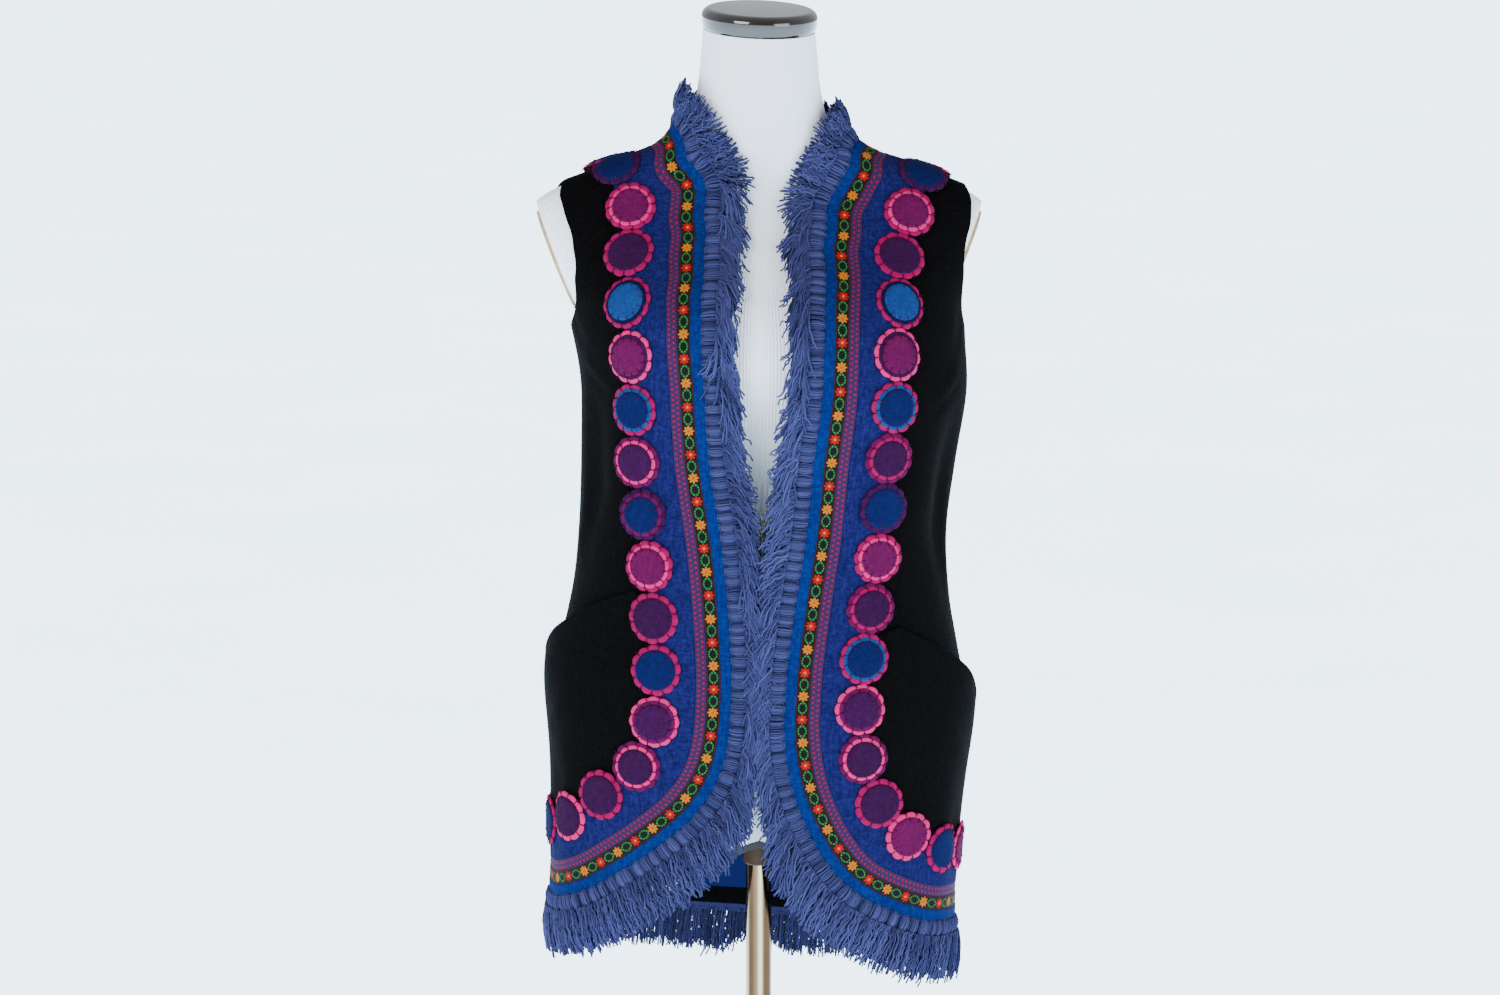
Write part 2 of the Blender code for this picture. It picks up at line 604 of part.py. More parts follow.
def seam(turn, low, high, marks, into):
    """A seam at one turn, inset by half the seam gap, from a low level up to a high one, through
    the marked levels."""
    stops = [low] + sorted(mark for mark in marks if low + 0.01 < mark < high - 0.01) + [high]
    levels = [low]
    for start, stop in zip(stops, stops[1:]):
        run = np.diff(VEST.flat(np.zeros(2), np.array([start, stop]))[:, 1])[0]
        count = max(1, math.ceil(run / SEAM_STEP))
        levels.extend(np.linspace(start, stop, count + 1)[1:])
    level = np.array(levels)
    return turn + into * seam_inset(level), level


def armhole(table, seam_turn, into):
    """The armhole's line from under the arm to the shoulder tip."""
    offset, level = turned(table)
    offset, level = smooth_line(offset, level)
    turn, level = even(seam_turn + into * offset, level, 13)
    turn[0] += into * seam_inset(level[0])
    turn[-1] += into * seam_inset(level[-1])
    return turn, level


def join_lines(*lines):
    """One closed outline from lines that meet end to end."""
    turn = np.concatenate([line[0][:-1] for line in lines])
    level = np.concatenate([line[1][:-1] for line in lines])
    return turn, level


def join_ends(line, other):
    """A closed outline along one line and back along the other."""
    return np.concatenate([line[0], other[0][::-1]]), np.concatenate([line[1], other[1][::-1]])


def backward(line):
    return line[0][::-1], line[1][::-1]


def under_trims(edge):
    """The lines that a panel shares with its trims: lanes along the edge, and lines across it and
    slanting from lane to lane, as the trims' own triangles do."""
    count = len(edge.cross)
    lines = list(edge.lanes[:-1])
    for i in range(1, count - 1):
        lines.append(tuple(np.array([lane[axis][i] for lane in edge.lanes]) for axis in (0, 1)))
    for lane, after in zip(edge.lanes, edge.lanes[1:]):
        lines.extend(tuple(np.array([lane[axis][i], after[axis][i + 1]]) for axis in (0, 1))
                     for i in range(count - 1))
    return lines


def by_shoulder(seam_turn, into, tip_level, row_level):
    """Two short rows of spots beside a shoulder seam, where the felt bends most."""
    level = np.arange(tip_level + 0.25, row_level - 0.2, 0.7)
    return [(np.full(len(level), seam_turn + into * math.radians(offset)), level)
            for offset in (8.0, 19.0)]


def front_panel(name, edge, seam_turn, pocket_mouth):
    """One front, cut in one piece from shoulder to hem."""
    lane = edge.lanes[-1]
    shoulder_end, side_end = 0, -1
    if seam_turn > 0:
        lane = backward(lane)
        shoulder_end, side_end = -1, 0
    into = -math.copysign(1.0, seam_turn)
    hole = armhole(FRONT_ARMHOLE["left" if seam_turn > 0 else "right"], seam_turn, into)
    side = seam(seam_turn, lane[1][-1], hole[1][0], edge.end_levels(side_end), into)
    shoulder = seam(seam_turn, hole[1][-1], lane[1][0], edge.end_levels(shoulder_end), into)
    outline = join_lines(lane, side, hole, shoulder)
    mouth_turn, mouth_level = even(*smooth_line(*turned(pocket_mouth)), POCKET_STEP)
    spots = by_shoulder(seam_turn, into, hole[1][-1], edge.end_levels(shoulder_end)[0])
    spots.append((mouth_turn[1:-1], mouth_level[1:-1]))
    surface = panel_surface(outline, under_trims(edge), spots, [edge.lanes])
    return sheet(name, *surface, -FELT / 2, FELT / 2, BLACK_FELT)


def back_panel(name):
    """The back, cut in one piece between the side seams, the shoulders and the neck."""
    hem, neck = EDGES["back_hem"], EDGES["back_neck"]
    full = 2 * math.pi
    hem_lane = hem.lanes[-1]
    neck_lane = (neck.lanes[-1][0] - full, neck.lanes[-1][1])
    left, right = math.radians(-270), math.radians(-90)
    left_hole = armhole(BACK_ARMHOLE["left"], left, 1.0)
    right_hole = armhole(BACK_ARMHOLE["right"], right, -1.0)
    outline = join_lines(
        hem_lane,
        seam(left, hem_lane[1][-1], left_hole[1][0], hem.end_levels(-1), 1.0),
        left_hole,
        seam(left, left_hole[1][-1], neck_lane[1][0], neck.end_levels(0), 1.0),
        neck_lane,
        backward(seam(right, right_hole[1][-1], neck_lane[1][-1], neck.end_levels(-1), -1.0)),
        backward(right_hole),
        backward(seam(right, hem_lane[1][0], right_hole[1][0], hem.end_levels(0), -1.0)),
    )
    neck_lanes = [(turn - full, level) for turn, level in neck.lanes]
    lines = under_trims(hem) + [(turn - full, level) for turn, level in under_trims(neck)]
    spots = by_shoulder(left, 1.0, left_hole[1][-1], neck.end_levels(0)[0])
    spots += by_shoulder(right, -1.0, right_hole[1][-1], neck.end_levels(-1)[0])
    surface = panel_surface(outline, lines, spots, [hem.lanes, neck_lanes])
    return sheet(name, *surface, -FELT / 2, FELT / 2, BLACK_FELT)


ON_PANEL = FELT / 2 + LAYER_LIFT
INSIDE = -FELT / 2 - LAYER_LIFT


def strip(name, edge, distance, offsets, low, high, look):
    """A strip along one stretch of the edge, between the first offset from its line and the last."""
    ends = distance[0] == 0
    lanes = [edge.lane(distance, across, ends) for across in offsets]
    turn = np.concatenate([lane[0] for lane in lanes])
    level = np.concatenate([lane[1] for lane in lanes])
    count = len(distance)
    faces = []
    for row in range(len(offsets) - 1):
        for i in range(row * count, (row + 1) * count - 1):
            faces += [(i, i + 1, i + 1 + count), (i, i + 1 + count, i + count)]
    return sheet(name, turn, level, faces, low, high, look)


# Pockets
def mouth_drop(mouth_turn, mouth_level, turn, level):
    """How far below the pocket's mouth a point lies, in millimetres."""
    order = np.argsort(mouth_turn)
    mouth_height = np.interp(turn, mouth_turn[order], VEST.row(mouth_level[order])[:, 0])
    return (mouth_height - VEST.row(level)[..., 0]) / MM


def pocket(name, edge, mouth, seam_turn):
    """A felt pocket over the lower front: its mouth slants down to the side seam and stands off."""
    into = -math.copysign(1.0, seam_turn)
    mouth_turn, mouth_level = smooth_line(*turned(mouth))
    low = edge.lane(edge.cross, POCKET_EDGE)
    if seam_turn > 0:
        low = backward(low)
    turn, level = low
    start = int(np.argmax(level < mouth_level[0] - 0.12))
    low = (turn[start:], level[start:])
    top = even(mouth_turn, mouth_level, POCKET_STEP)
    top[0][-1] = seam_turn + into * seam_inset(top[1][-1])
    side = seam(seam_turn, low[1][-1], top[1][-1], [], into)
    first = (np.array([top[0][0], low[0][0]]), np.array([top[1][0], low[1][0]]))
    outline = join_lines(low, side, backward(top), first)

    def stand_off(turn, level):
        drop = mouth_drop(mouth_turn, mouth_level, turn, level)
        outer = smooth_step((np.abs(turn) - math.radians(44)) / math.radians(34))
        gape = POCKET_GAPE * outer * np.exp(-(np.maximum(drop, 0) / POCKET_GAPE_DEPTH) ** 2)
        return ON_PANEL + gape

    turn, level, faces = panel_surface(outline)
    lift = stand_off(turn, level)
    return sheet(name, turn, level, faces, lift, lift + BAND, BLACK_FELT)


# The row of discs: each has a flat underside, a wide lower layer and a raised inner one
DISC_LIFT = ON_PANEL + BAND + 1.5
LOWER_DISC = 1.6
UPPER_DISC = 1.6


def disc_row(name, edge):
    """A row of touching discs along the edge, joined where they touch."""
    fine = np.linspace(0, edge.length, 200)
    row = VEST.point(*VEST.travel(*edge.at(fine), DISC_ROW)[:2])
    way = unit(np.diff(VEST.point(*edge.at(fine)[:2]), axis=0))
    gained = np.cumsum(np.sum(np.diff(row, axis=0) * way, -1)) / MM
    run = np.maximum.accumulate(np.concatenate([[0], gained]))
    count = round(run[-1] / DISC_PITCH)
    centres = np.interp((np.arange(count) + 0.5) / count * run[-1], run, fine)
    turn, level, across = VEST.travel(*edge.at(centres), DISC_ROW)
    normal = VEST.normal(turn, level)
    across = -across
    along = unit(np.cross(across, normal))

    def rim(sides, radius, k):
        angles = (np.arange(sides) + 0.5) / sides * 2 * math.pi
        centre = VEST.point(turn[k], level[k])
        target = (centre + radius * MM * (np.cos(angles)[:, None] * along[k]
                                          + np.sin(angles)[:, None] * across[k]))
        start_turn = np.full(sides, turn[k])
        start_level = np.full(sides, level[k])
        return VEST.nearest(target, start_turn, start_level, rounds=12)

    points = []
    faces = []
    rings = []
    for k in range(count):
        outer = rim(DISC_SIDES, DISC_RADIUS, k)
        inner = rim(INNER_SIDES, INNER_RADIUS, k)
        middle = (turn[k:k + 1], level[k:k + 1])
        layers = [
            lifted(*middle, DISC_LIFT), lifted(*outer, DISC_LIFT), lifted(*outer, DISC_LIFT + LOWER_DISC),
            lifted(*inner, DISC_LIFT + LOWER_DISC), lifted(*inner, DISC_LIFT + LOWER_DISC + UPPER_DISC),
            lifted(*middle, DISC_LIFT + LOWER_DISC + UPPER_DISC),
        ]
        starts = len(points) + np.cumsum([0] + [len(layer) for layer in layers])
        for layer in layers:
            points.extend(layer)
        hub, low, high, foot, top, crown = starts[:6]
        rings.append((low, high))
        for i in range(DISC_SIDES):
            j = (i + 1) % DISC_SIDES
            faces.append((hub, low + j, low + i))
            joined = (i == DISC_SIDES - 1 and k < count - 1) or (i == DISC_SIDES // 2 - 1 and k > 0)
            if not joined:
                faces.append((low + i, low + j, high + j, high + i))
        faces.extend(bridge(high, DISC_SIDES, foot, INNER_SIDES))
        for i in range(INNER_SIDES):
            j = (i + 1) % INNER_SIDES
            faces.append((foot + i, foot + j, top + j, top + i))
            faces.append((top + i, top + j, crown))
    for (low, high), (next_low, next_high) in zip(rings, rings[1:]):
        a, b = DISC_SIDES - 1, 0
        c, d = DISC_SIDES // 2 - 1, DISC_SIDES // 2
        faces.append((low + a, low + b, next_low + c, next_low + d))
        faces.append((high + b, high + a, next_high + d, next_high + c))
        faces.append((low + b, high + b, next_high + c, next_low + c))
        faces.append((high + a, low + a, next_low + d, next_high + d))
    return make_object(name, mesh_from(name, points, faces), PINK_FELT)


def bridge(outer, outer_count, inner, inner_count):
    """Triangles between two rings of unlike counts whose points start half a step round."""
    faces = []
    i = j = 0
    while i < outer_count or j < inner_count:
        outer_next = (i + 1.5) / outer_count
        inner_next = (j + 1.5) / inner_count
        a, b = outer + i % outer_count, inner + j % inner_count
        if j >= inner_count or (i < outer_count and outer_next <= inner_next):
            faces.append((a, outer + (i + 1) % outer_count, b))
            i += 1
        else:
            faces.append((a, inner + (j + 1) % inner_count, b))
            j += 1
    return faces


# The fringe: a looped heading with tapered locks growing from its edgeward side
def fringe(name, edge):
    """Heading and locks of one stretch of the edge, in one piece."""
    count = round(edge.length / LOCK_PITCH)
    bounds = np.linspace(0, edge.length, count + 1)
    middles = (bounds[:-1] + bounds[1:]) / 2
    half = LOCK_WIDTH / 2
    sides = np.concatenate([[0.0], np.stack([middles - half, middles + half], -1).ravel(),
                            [edge.length]])
    inner_at = np.concatenate([[0.0], middles, [edge.length]])
    inner = edge.lane(inner_at, HEADING_START)
    outer = edge.lane(sides, HEADING_END)
    low, high = ON_PANEL + HEADING_LIFT, ON_PANEL + HEADING_LIFT + HEADING_THICK
    layers = [lifted(*inner, low), lifted(*inner, high), lifted(*outer, low), lifted(*outer, high)]
    points = list(np.concatenate(layers))
    n, m = len(inner_at), len(sides)
    in_low, in_high, out_low, out_high = 0, n, 2 * n, 2 * n + m
    faces = [(in_low, in_high, out_high, out_low),
             (in_low + n - 1, out_low + m - 1, out_high + m - 1, in_high + n - 1)]
    for i in range(n - 1):
        faces.append((in_low + i, in_low + i + 1, in_high + i + 1, in_high + i))
    for i in range(m - 1):
        if i % 2 == 0:
            faces.append((out_low + i, out_high + i, out_high + i + 1, out_low + i + 1))
        near = (i + 1) // 2
        for back, out, flip in ((in_low, out_low, False), (in_high, out_high, True)):
            if i % 2 == 1:
                face = (back + near, out + i + 1, out + i)
            else:
                face = (back + near, back + near + 1, out + i + 1, out + i)
            faces.append(face[::-1] if flip else face)

    turn, level, heading = VEST.travel(*edge.at(middles), HEADING_END)
    way = lock_way(turn, level, heading)
    length = np.where(heading[:, 2] > RISING, NECK_LOCK_LENGTH, LOCK_LENGTH)
    turn, level = walk_each(turn, level, way, length)
    normal = VEST.normal(turn, level)
    centre = lifted(turn, level, (low + high) / 2 + LOCK_CROSSING.get(edge.name, 0.0))
    beside = unit(np.cross(normal, way))
    half_width = beside * (LOCK_TIP / 2 * MM)
    half_thick = normal * (LOCK_TIP / 4 * MM)
    start = len(points)
    for corner in (-half_width - half_thick, half_width - half_thick,
                   half_width + half_thick, half_thick - half_width):
        points.extend(centre + corner)
    for k in range(count):
        foot, head = out_low + 2 * k + 1, out_high + 2 * k + 1
        root = [foot, foot + 1, head + 1, head]
        if np.dot(points[root[1]] - points[root[0]], beside[k]) < 0:
            root = [root[1], root[0], root[3], root[2]]
        tip = [start + corner * count + k for corner in range(4)]
        faces.extend((root[c], root[(c + 1) % 4], tip[(c + 1) % 4], tip[c]) for c in range(4))
        faces.append(tuple(tip))
    return make_object(name, mesh_from(name, points, faces), YARN)


def lock_way(turn, level, heading):
    """The way each lock lies: out from the edge, leaning to the ground where the edge is upright."""
    normal = VEST.normal(turn, level)
    down = np.array([0, 0, -1.0])
    fall = unit(down - normal * np.sum(normal * down, -1, keepdims=True))
    apart = np.abs(VEST.point(turn, level)[:, 0]) / MM
    closed = smooth_step((32 - apart) / 16)
    lean = (LOCK_LEAN + CLOSED_LEAN * closed) * (1 - heading[:, 2] ** 2)
    lean = np.radians(np.where(heading[:, 2] > RISING, 0.0, lean))[:, None]
    return unit(np.cos(lean) * heading + np.sin(lean) * fall)


def walk_each(turn, level, way, length):
    """Walk every point its own length over the surface, in steps."""
    steps = 4
    here = VEST.point(turn, level)
    for _ in range(steps):
        normal = VEST.normal(turn, level)
        way = unit(way - normal * np.sum(way * normal, -1, keepdims=True))
        target = here + way * (length * MM / steps)[:, None]
        turn, level = VEST.nearest(target, turn, level)
        here = VEST.point(turn, level)
    return turn, level


# The dress form
def loft_solid(loft, lift, around, levels):
    """A closed loft through level rings, moved out by lift millimetres."""
    turns = np.linspace(-math.pi, math.pi, around, endpoint=False)
    grid_turn, grid_level = np.meshgrid(turns, levels)
    places = loft.point(grid_turn, grid_level)
    if lift:
        places = places + loft.normal(grid_turn, grid_level) * lift * MM
    points = places.reshape(-1, 3)
    faces = []
    for row in range(len(levels) - 1):
        for i in range(around):
            j = (i + 1) % around
            a, b = row * around + i, row * around + j
            faces.append((a, b, b + around, a + around))
    faces.append(tuple(range(around))[::-1])
    faces.append(tuple(range(len(points) - around, len(points))))
    return mesh_from("loft", points, faces)


def cutter(name, mesh):
    made = bpy.data.objects.new(name, mesh)
    CUTTERS.objects.link(made)
    made.hide_render = True
    made.display_type = "WIRE"
    return made


def cut(target, tool, operation="DIFFERENCE"):
    change = target.modifiers.new(tool.name, "BOOLEAN")
    change.operation = operation
    change.object = tool
    change.solver = "EXACT"


def half_space(name, side):
    """A block whose inner face is the flat cut at one arm."""
    across = np.array([CUT_TOP[0], CUT_LOW[0]]) * MM
    height = np.array([CUT_TOP[1], CUT_LOW[1]]) * MM
    lean = math.atan2(across[0] - across[1], height[0] - height[1])
    size = 0.4
    built = bmesh.new()
    bmesh.ops.create_cube(built, size=size)
    mesh = bpy.data.meshes.new(name)
    built.to_mesh(mesh)
    built.free()
    made = cutter(name, mesh)
    made.rotation_euler = (0, side * lean, 0)
    out = np.array([math.cos(lean), 0, -math.sin(lean)])
    middle = np.array([across.mean(), 0, height.mean()]) + out * size / 2
    made.location = (side * middle[0], 0, middle[2])
    return made


def arch_prism(name, inset, reach):
    """A tunnel-shaped prism through the torso from front to back."""
    width = (ARCH_HALF_WIDTH - inset * 1.3) * MM
    rise = (ARCH_APEX - ARCH_FOOT - inset) * MM
    foot = ARCH_FOOT * MM
    across = np.sin(np.linspace(math.pi / 2, -math.pi / 2, 25))
    outline = [(width * part, foot + rise * (1 - abs(part) ** ARCH_SHAPE)) for part in across]
    below = foot - 0.05
    outline = [(width, below)] + outline + [(-width, below)]
    points = [(x, y, z) for y in (-reach, reach) for x, z in outline]
    n = len(outline)
    faces = [tuple(range(n)), tuple(range(n, 2 * n))[::-1]]
    faces += [(i, (i + 1) % n, n + (i + 1) % n, n + i) for i in range(n)]
    return cutter(name, mesh_from(name, points, faces))


def dress_form():
    levels = np.arange(FORM.top + 1)
    torso = make_object("torso", loft_solid(FORM, 0.0, FORM_SIDES, levels), JERSEY)
    for side, word in ((-1, "right"), (1, "left")):
        cut(torso, half_space(f"{word}_arm_cut", side))
        arm_plate(f"{word}_arm_plate", side)
    cut(torso, arch_prism("arch_cut", 0.0, 0.3))
    edge = make_object("arch_edge", loft_solid(FORM, 0.5, FORM_SIDES, levels[:6]), BLACK_TAPE)
    cut(edge, arch_prism("arch_edge_outside", 0.35, 0.3), "INTERSECT")
    cut(edge, arch_prism("arch_edge_inside", ARCH_EDGE, 0.35))


def arm_plate(name, side):
    """A thin oval plate closing the arm's flat cut."""
    across = np.array([CUT_TOP[0], CUT_LOW[0]]) * MM
    height = np.array([CUT_TOP[1], CUT_LOW[1]]) * MM
    lean = math.atan2(across[0] - across[1], height[0] - height[1])
    built = bmesh.new()
    bmesh.ops.create_cone(built, cap_ends=True, segments=32, radius1=1.0, radius2=1.0,
                          depth=ARM_PLATE * MM)
    for vertex in built.verts:
        vertex.co.x *= 50 * MM
        vertex.co.y *= 35 * MM
    mesh = bpy.data.meshes.new(name)
    built.to_mesh(mesh)
    built.free()
    made = make_object(name, mesh, ARM_WOOD)
    made.rotation_euler = (0, side * (math.pi / 2 + lean), 0)
    out = np.array([math.cos(lean), 0, -math.sin(lean)])
    middle = np.array([across.mean(), 0.012, height.mean()]) + out * (ARM_PLATE / 2 + 0.35) * MM
    made.location = (side * middle[0], middle[1], middle[2])


def turned_solid(name, profile, look, sides=40):
    """A solid turned round +Z from a profile that runs down its outer side."""
    mesh = bpy.data.meshes.new(name)
    points = [(radius * MM, 0, height * MM) for radius, height in profile]
    edges = [(i, i + 1) for i in range(len(points) - 1)]
    if points[0] == points[-1]:
        points.pop()
        edges[-1] = (len(points) - 1, 0)
    mesh.from_pydata(points, edges, [])
    made = make_object(name, mesh, look)
    screw = made.modifiers.new("turn", "SCREW")
    screw.steps = sides
    screw.render_steps = sides
    screw.use_merge_vertices = True
    screw.merge_threshold = 0.00005
    screw.use_smooth_shade = True
    return made


def arc(centre, radius, start, end, count=5):
    """Points of a rounded corner in a profile."""
    angles = np.radians(np.linspace(start, end, count))
    return [(centre[0] + radius * math.cos(a), centre[1] + radius * math.sin(a)) for a in angles]


def neck_cap():
    """The glossy cap, tipped with the neck's cut top."""
    radius, tall, round_off = 54.5, 19.5, 8.0
    profile = [(0, tall)] + arc((radius - round_off, tall - round_off), round_off, 90, 0, 4)
    profile += [(radius, 4.0), (radius - 2.5, 0), (0, 0)]
    cap = turned_solid("neck_cap", profile, BLACK_GLOSS, 32)
    top = FORM.rows[-1]
    nod_lean = math.atan2(top[7], (top[2] + top[3]) / 2)
    sway_lean = math.atan2(top[6], top[1])
    cap.rotation_euler = (nod_lean, sway_lean, 0)
    cap.location = (0, top[4], top[0] + 0.6 * MM)


def stand():
    """Round base, collar and pole."""
    lip = 4.0
    profile = [(0, BASE_THICK)] + arc((BASE_RADIUS - lip, BASE_THICK - lip), lip, 90, 0, 3)
    profile += [(BASE_RADIUS, 0), (0, 0)]
    turned_solid("base", profile, STEEL, 44)
    collar_low = BASE_THICK + 0.3
    collar_top = collar_low + 34
    bore = POLE_RADIUS + 0.3
    collar = [(bore, collar_top)] + arc((21, collar_top - 3), 3, 90, 0, 3)
    collar += [(24, collar_low + 8), (32, collar_low), (bore, collar_low), (bore, collar_top)]
    turned_solid("base_collar", collar, STEEL, 20)
    pole_top = ARCH_APEX - 38
    profile = [(0, pole_top), (POLE_RADIUS, pole_top), (POLE_RADIUS, collar_low), (0, collar_low)]
    turned_solid("pole", profile, STEEL, 20)
    socket_top = ARCH_APEX - ARCH_EDGE - 6.6
    socket_low = pole_top - 12
    outer = POLE_RADIUS + 2.4
    socket = [(0, socket_top), (outer, socket_top), (outer, socket_low), (bore, socket_low),
              (bore, pole_top + 0.3), (0, pole_top + 0.3)]
    turned_solid("pole_socket", socket, BROWN_FITTING, 20)


def vest():
    front_panel("right_front", EDGES["right_front"], math.radians(-90), RIGHT_POCKET_MOUTH)
    front_panel("left_front", EDGES["left_front"], math.radians(90), LEFT_POCKET_MOUTH)
    back_panel("back")
    looks = {"blue_band": BLUE_FELT, "violet_ribbon": VIOLET, "flower_ribbon": FLOWERS,
             "bright_strip": BRIGHT_BLUE}
    for edge in EDGES.values():
        for trim in TRIMS:
            offsets = np.linspace(trim.start, trim.end, trim.lanes + 1)
            strip(f"{trim.name}_{edge.name}", edge, edge.cross, offsets, ON_PANEL,
                  ON_PANEL + trim.thickness, looks[trim.name])
        fringe(f"fringe_{edge.name}", edge)
        disc_row(f"discs_{edge.name}", edge)
    pocket("right_pocket", EDGES["right_front"], RIGHT_POCKET_MOUTH, math.radians(-90))
    pocket("left_pocket", EDGES["left_front"], LEFT_POCKET_MOUTH, math.radians(90))
    hem = EDGES["back_hem"]
    inner = hem.cross[1:-1]
    strip("back_lining", hem, inner, (-58.0, -17.0, 8.0), INSIDE - 1.0, INSIDE, BLUE_LINING)
    strip("back_hem_facing", hem, inner, (8.6, 25.0), INSIDE - 1.4, INSIDE, BLACK_FELT)


dress_form()
neck_cap()
stand()
vest()
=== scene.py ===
import math
from collections import namedtuple

import bmesh
import bpy
import numpy as np
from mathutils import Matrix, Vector, geometry


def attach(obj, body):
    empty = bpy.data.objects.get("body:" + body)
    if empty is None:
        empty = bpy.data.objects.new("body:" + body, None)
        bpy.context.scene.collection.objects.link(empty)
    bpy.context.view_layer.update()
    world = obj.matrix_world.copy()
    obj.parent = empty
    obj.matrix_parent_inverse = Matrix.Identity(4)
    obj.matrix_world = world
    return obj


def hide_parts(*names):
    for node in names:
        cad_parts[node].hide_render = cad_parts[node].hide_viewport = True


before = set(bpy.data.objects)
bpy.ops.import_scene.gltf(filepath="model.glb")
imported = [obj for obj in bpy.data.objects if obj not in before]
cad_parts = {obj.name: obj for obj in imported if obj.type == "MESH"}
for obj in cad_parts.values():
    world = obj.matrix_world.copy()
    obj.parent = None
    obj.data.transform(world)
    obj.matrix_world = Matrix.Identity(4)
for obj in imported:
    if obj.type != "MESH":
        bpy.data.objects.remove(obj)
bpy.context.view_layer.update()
MM = 0.001


# Camera, floor and light.
# A long lens from a little above chest height, a pale floor that runs out of the picture, and soft
# light from large panels in front.
target = Vector((-0.0086, 0.0, 1.05))
distance = 3.2
pitch = math.radians(10.0)
lens = bpy.data.cameras.new("camera")
lens.lens = 80.0
lens.sensor_width = 36.0
camera = bpy.data.objects.new("camera", lens)
camera.location = target + Vector((0.0, -distance * math.cos(pitch), distance * math.sin(pitch)))
camera.rotation_euler = (math.pi / 2 - pitch, 0.0, 0.0)
bpy.context.scene.collection.objects.link(camera)
bpy.context.scene.camera = camera


class Look:
    """A material, with one short way to add its nodes."""
    def __init__(self, name, colour, roughness=0.9, **constants):
        self.material = bpy.data.materials.new(name)
        self.material.use_nodes = True
        self.tree = self.material.node_tree
        self.shader = self.tree.nodes["Principled BSDF"]
        self.material.diffuse_color = (*colour, 1.0)
        self.shader.inputs["Base Color"].default_value = (*colour, 1.0)
        self.shader.inputs["Roughness"].default_value = roughness
        for key, value in constants.items():
            self.shader.inputs[key.replace("_", " ")].default_value = value
        self.bumps = None

    def feed(self, socket, value):
        if isinstance(value, Value):
            self.tree.links.new(value.socket, socket)
        elif hasattr(value, "__len__") and len(value) == 3 and socket.type == "RGBA":
            socket.default_value = (*value, 1.0)
        else:
            socket.default_value = value

    def node(self, kind, settings=None, inputs=None, output=0):
        made = self.tree.nodes.new("ShaderNode" + kind)
        for key, value in (settings or {}).items():
            setattr(made, key, value)
        for key, value in (inputs or {}).items():
            self.feed(made.inputs[key], value)
        return Value(self, made.outputs[output])

    def place(self, source="Object", scale=(1.0, 1.0, 1.0)):
        where = self.node("TexCoord", output=source)
        return self.node("Mapping", None, {"Vector": where, "Scale": scale})

    def noise(self, scale, source="Object", stretch=(1.0, 1.0, 1.0), detail=2.0, rough=0.5):
        where = self.place(source, stretch)
        return self.node("TexNoise", None, {"Vector": where, "Scale": scale, "Detail": detail,
                                            "Roughness": rough})

    def sides(self, place):
        """The X and Y of a place, as two values."""
        side = self.node("SeparateXYZ", None, {0: place}, "X")
        return side, Value(self, side.socket.node.outputs["Y"])

    def mix(self, factor, first, second):
        return self.node("Mix", {"data_type": "RGBA"}, {0: factor, 6: first, 7: second}, 2)

    def bump(self, height, depth):
        """Raise the surface by height, 0 to 1, times depth in metres, over what is there."""
        inputs = {"Height": height, "Distance": depth, "Strength": 1.0}
        if self.bumps:
            inputs["Normal"] = self.bumps
        self.bumps = self.node("Bump", None, inputs)
        self.set("Normal", self.bumps)

    def set(self, name, value):
        self.feed(self.shader.inputs[name], value)


class Value:
    """A socket that takes part in sums."""
    def __init__(self, look, socket):
        self.look = look
        self.socket = socket

    def math(self, operation, *others):
        return self.look.node("Math", {"operation": operation}, dict(enumerate((self, *others))))

    def __add__(self, other):
        return self.math("ADD", other)

    def __sub__(self, other):
        return self.math("SUBTRACT", other)

    def __mul__(self, other):
        return self.math("MULTIPLY", other)

    def __truediv__(self, other):
        return self.math("DIVIDE", other)

    def __rsub__(self, other):
        return self.math("MULTIPLY", -1.0).math("ADD", other)

    def __mod__(self, other):
        return self.math("FLOORED_MODULO", other)

    def __abs__(self):
        return self.math("ABSOLUTE")

    __radd__ = __add__
    __rmul__ = __mul__

    def under(self, limit, soft):
        """1 where the value is under the limit, 0 over it, with a soft step between."""
        gap = (self - limit) * (-1.0 / soft) + 0.5
        return gap.math("MAXIMUM", 0.0).math("MINIMUM", 1.0)


def link(name, mesh, looks=()):
    made = bpy.data.objects.new(name, mesh)
    bpy.context.scene.collection.objects.link(made)
    for look in looks:
        mesh.materials.append(look.material)
    return made


floor_look = Look("pale_floor", (0.88, 0.92, 0.96), 0.85, Emission_Strength=4.6)
cloud = floor_look.noise(1.3, detail=3.0)
floor_look.set("Base Color", floor_look.mix(cloud, (0.85, 0.90, 0.945), (0.91, 0.94, 0.965)))
floor_look.set("Emission Color", floor_look.mix(cloud, (0.56, 0.78, 1.0), (0.72, 0.88, 1.0)))
floor_look.bump(floor_look.noise(14.0, detail=3.0), 0.0006)
ground = bmesh.new()
bmesh.ops.create_circle(ground, cap_ends=True, segments=96, radius=90.0)
floor_mesh = bpy.data.meshes.new("floor")
ground.to_mesh(floor_mesh)
ground.free()
floor = link("floor", floor_mesh, [floor_look])

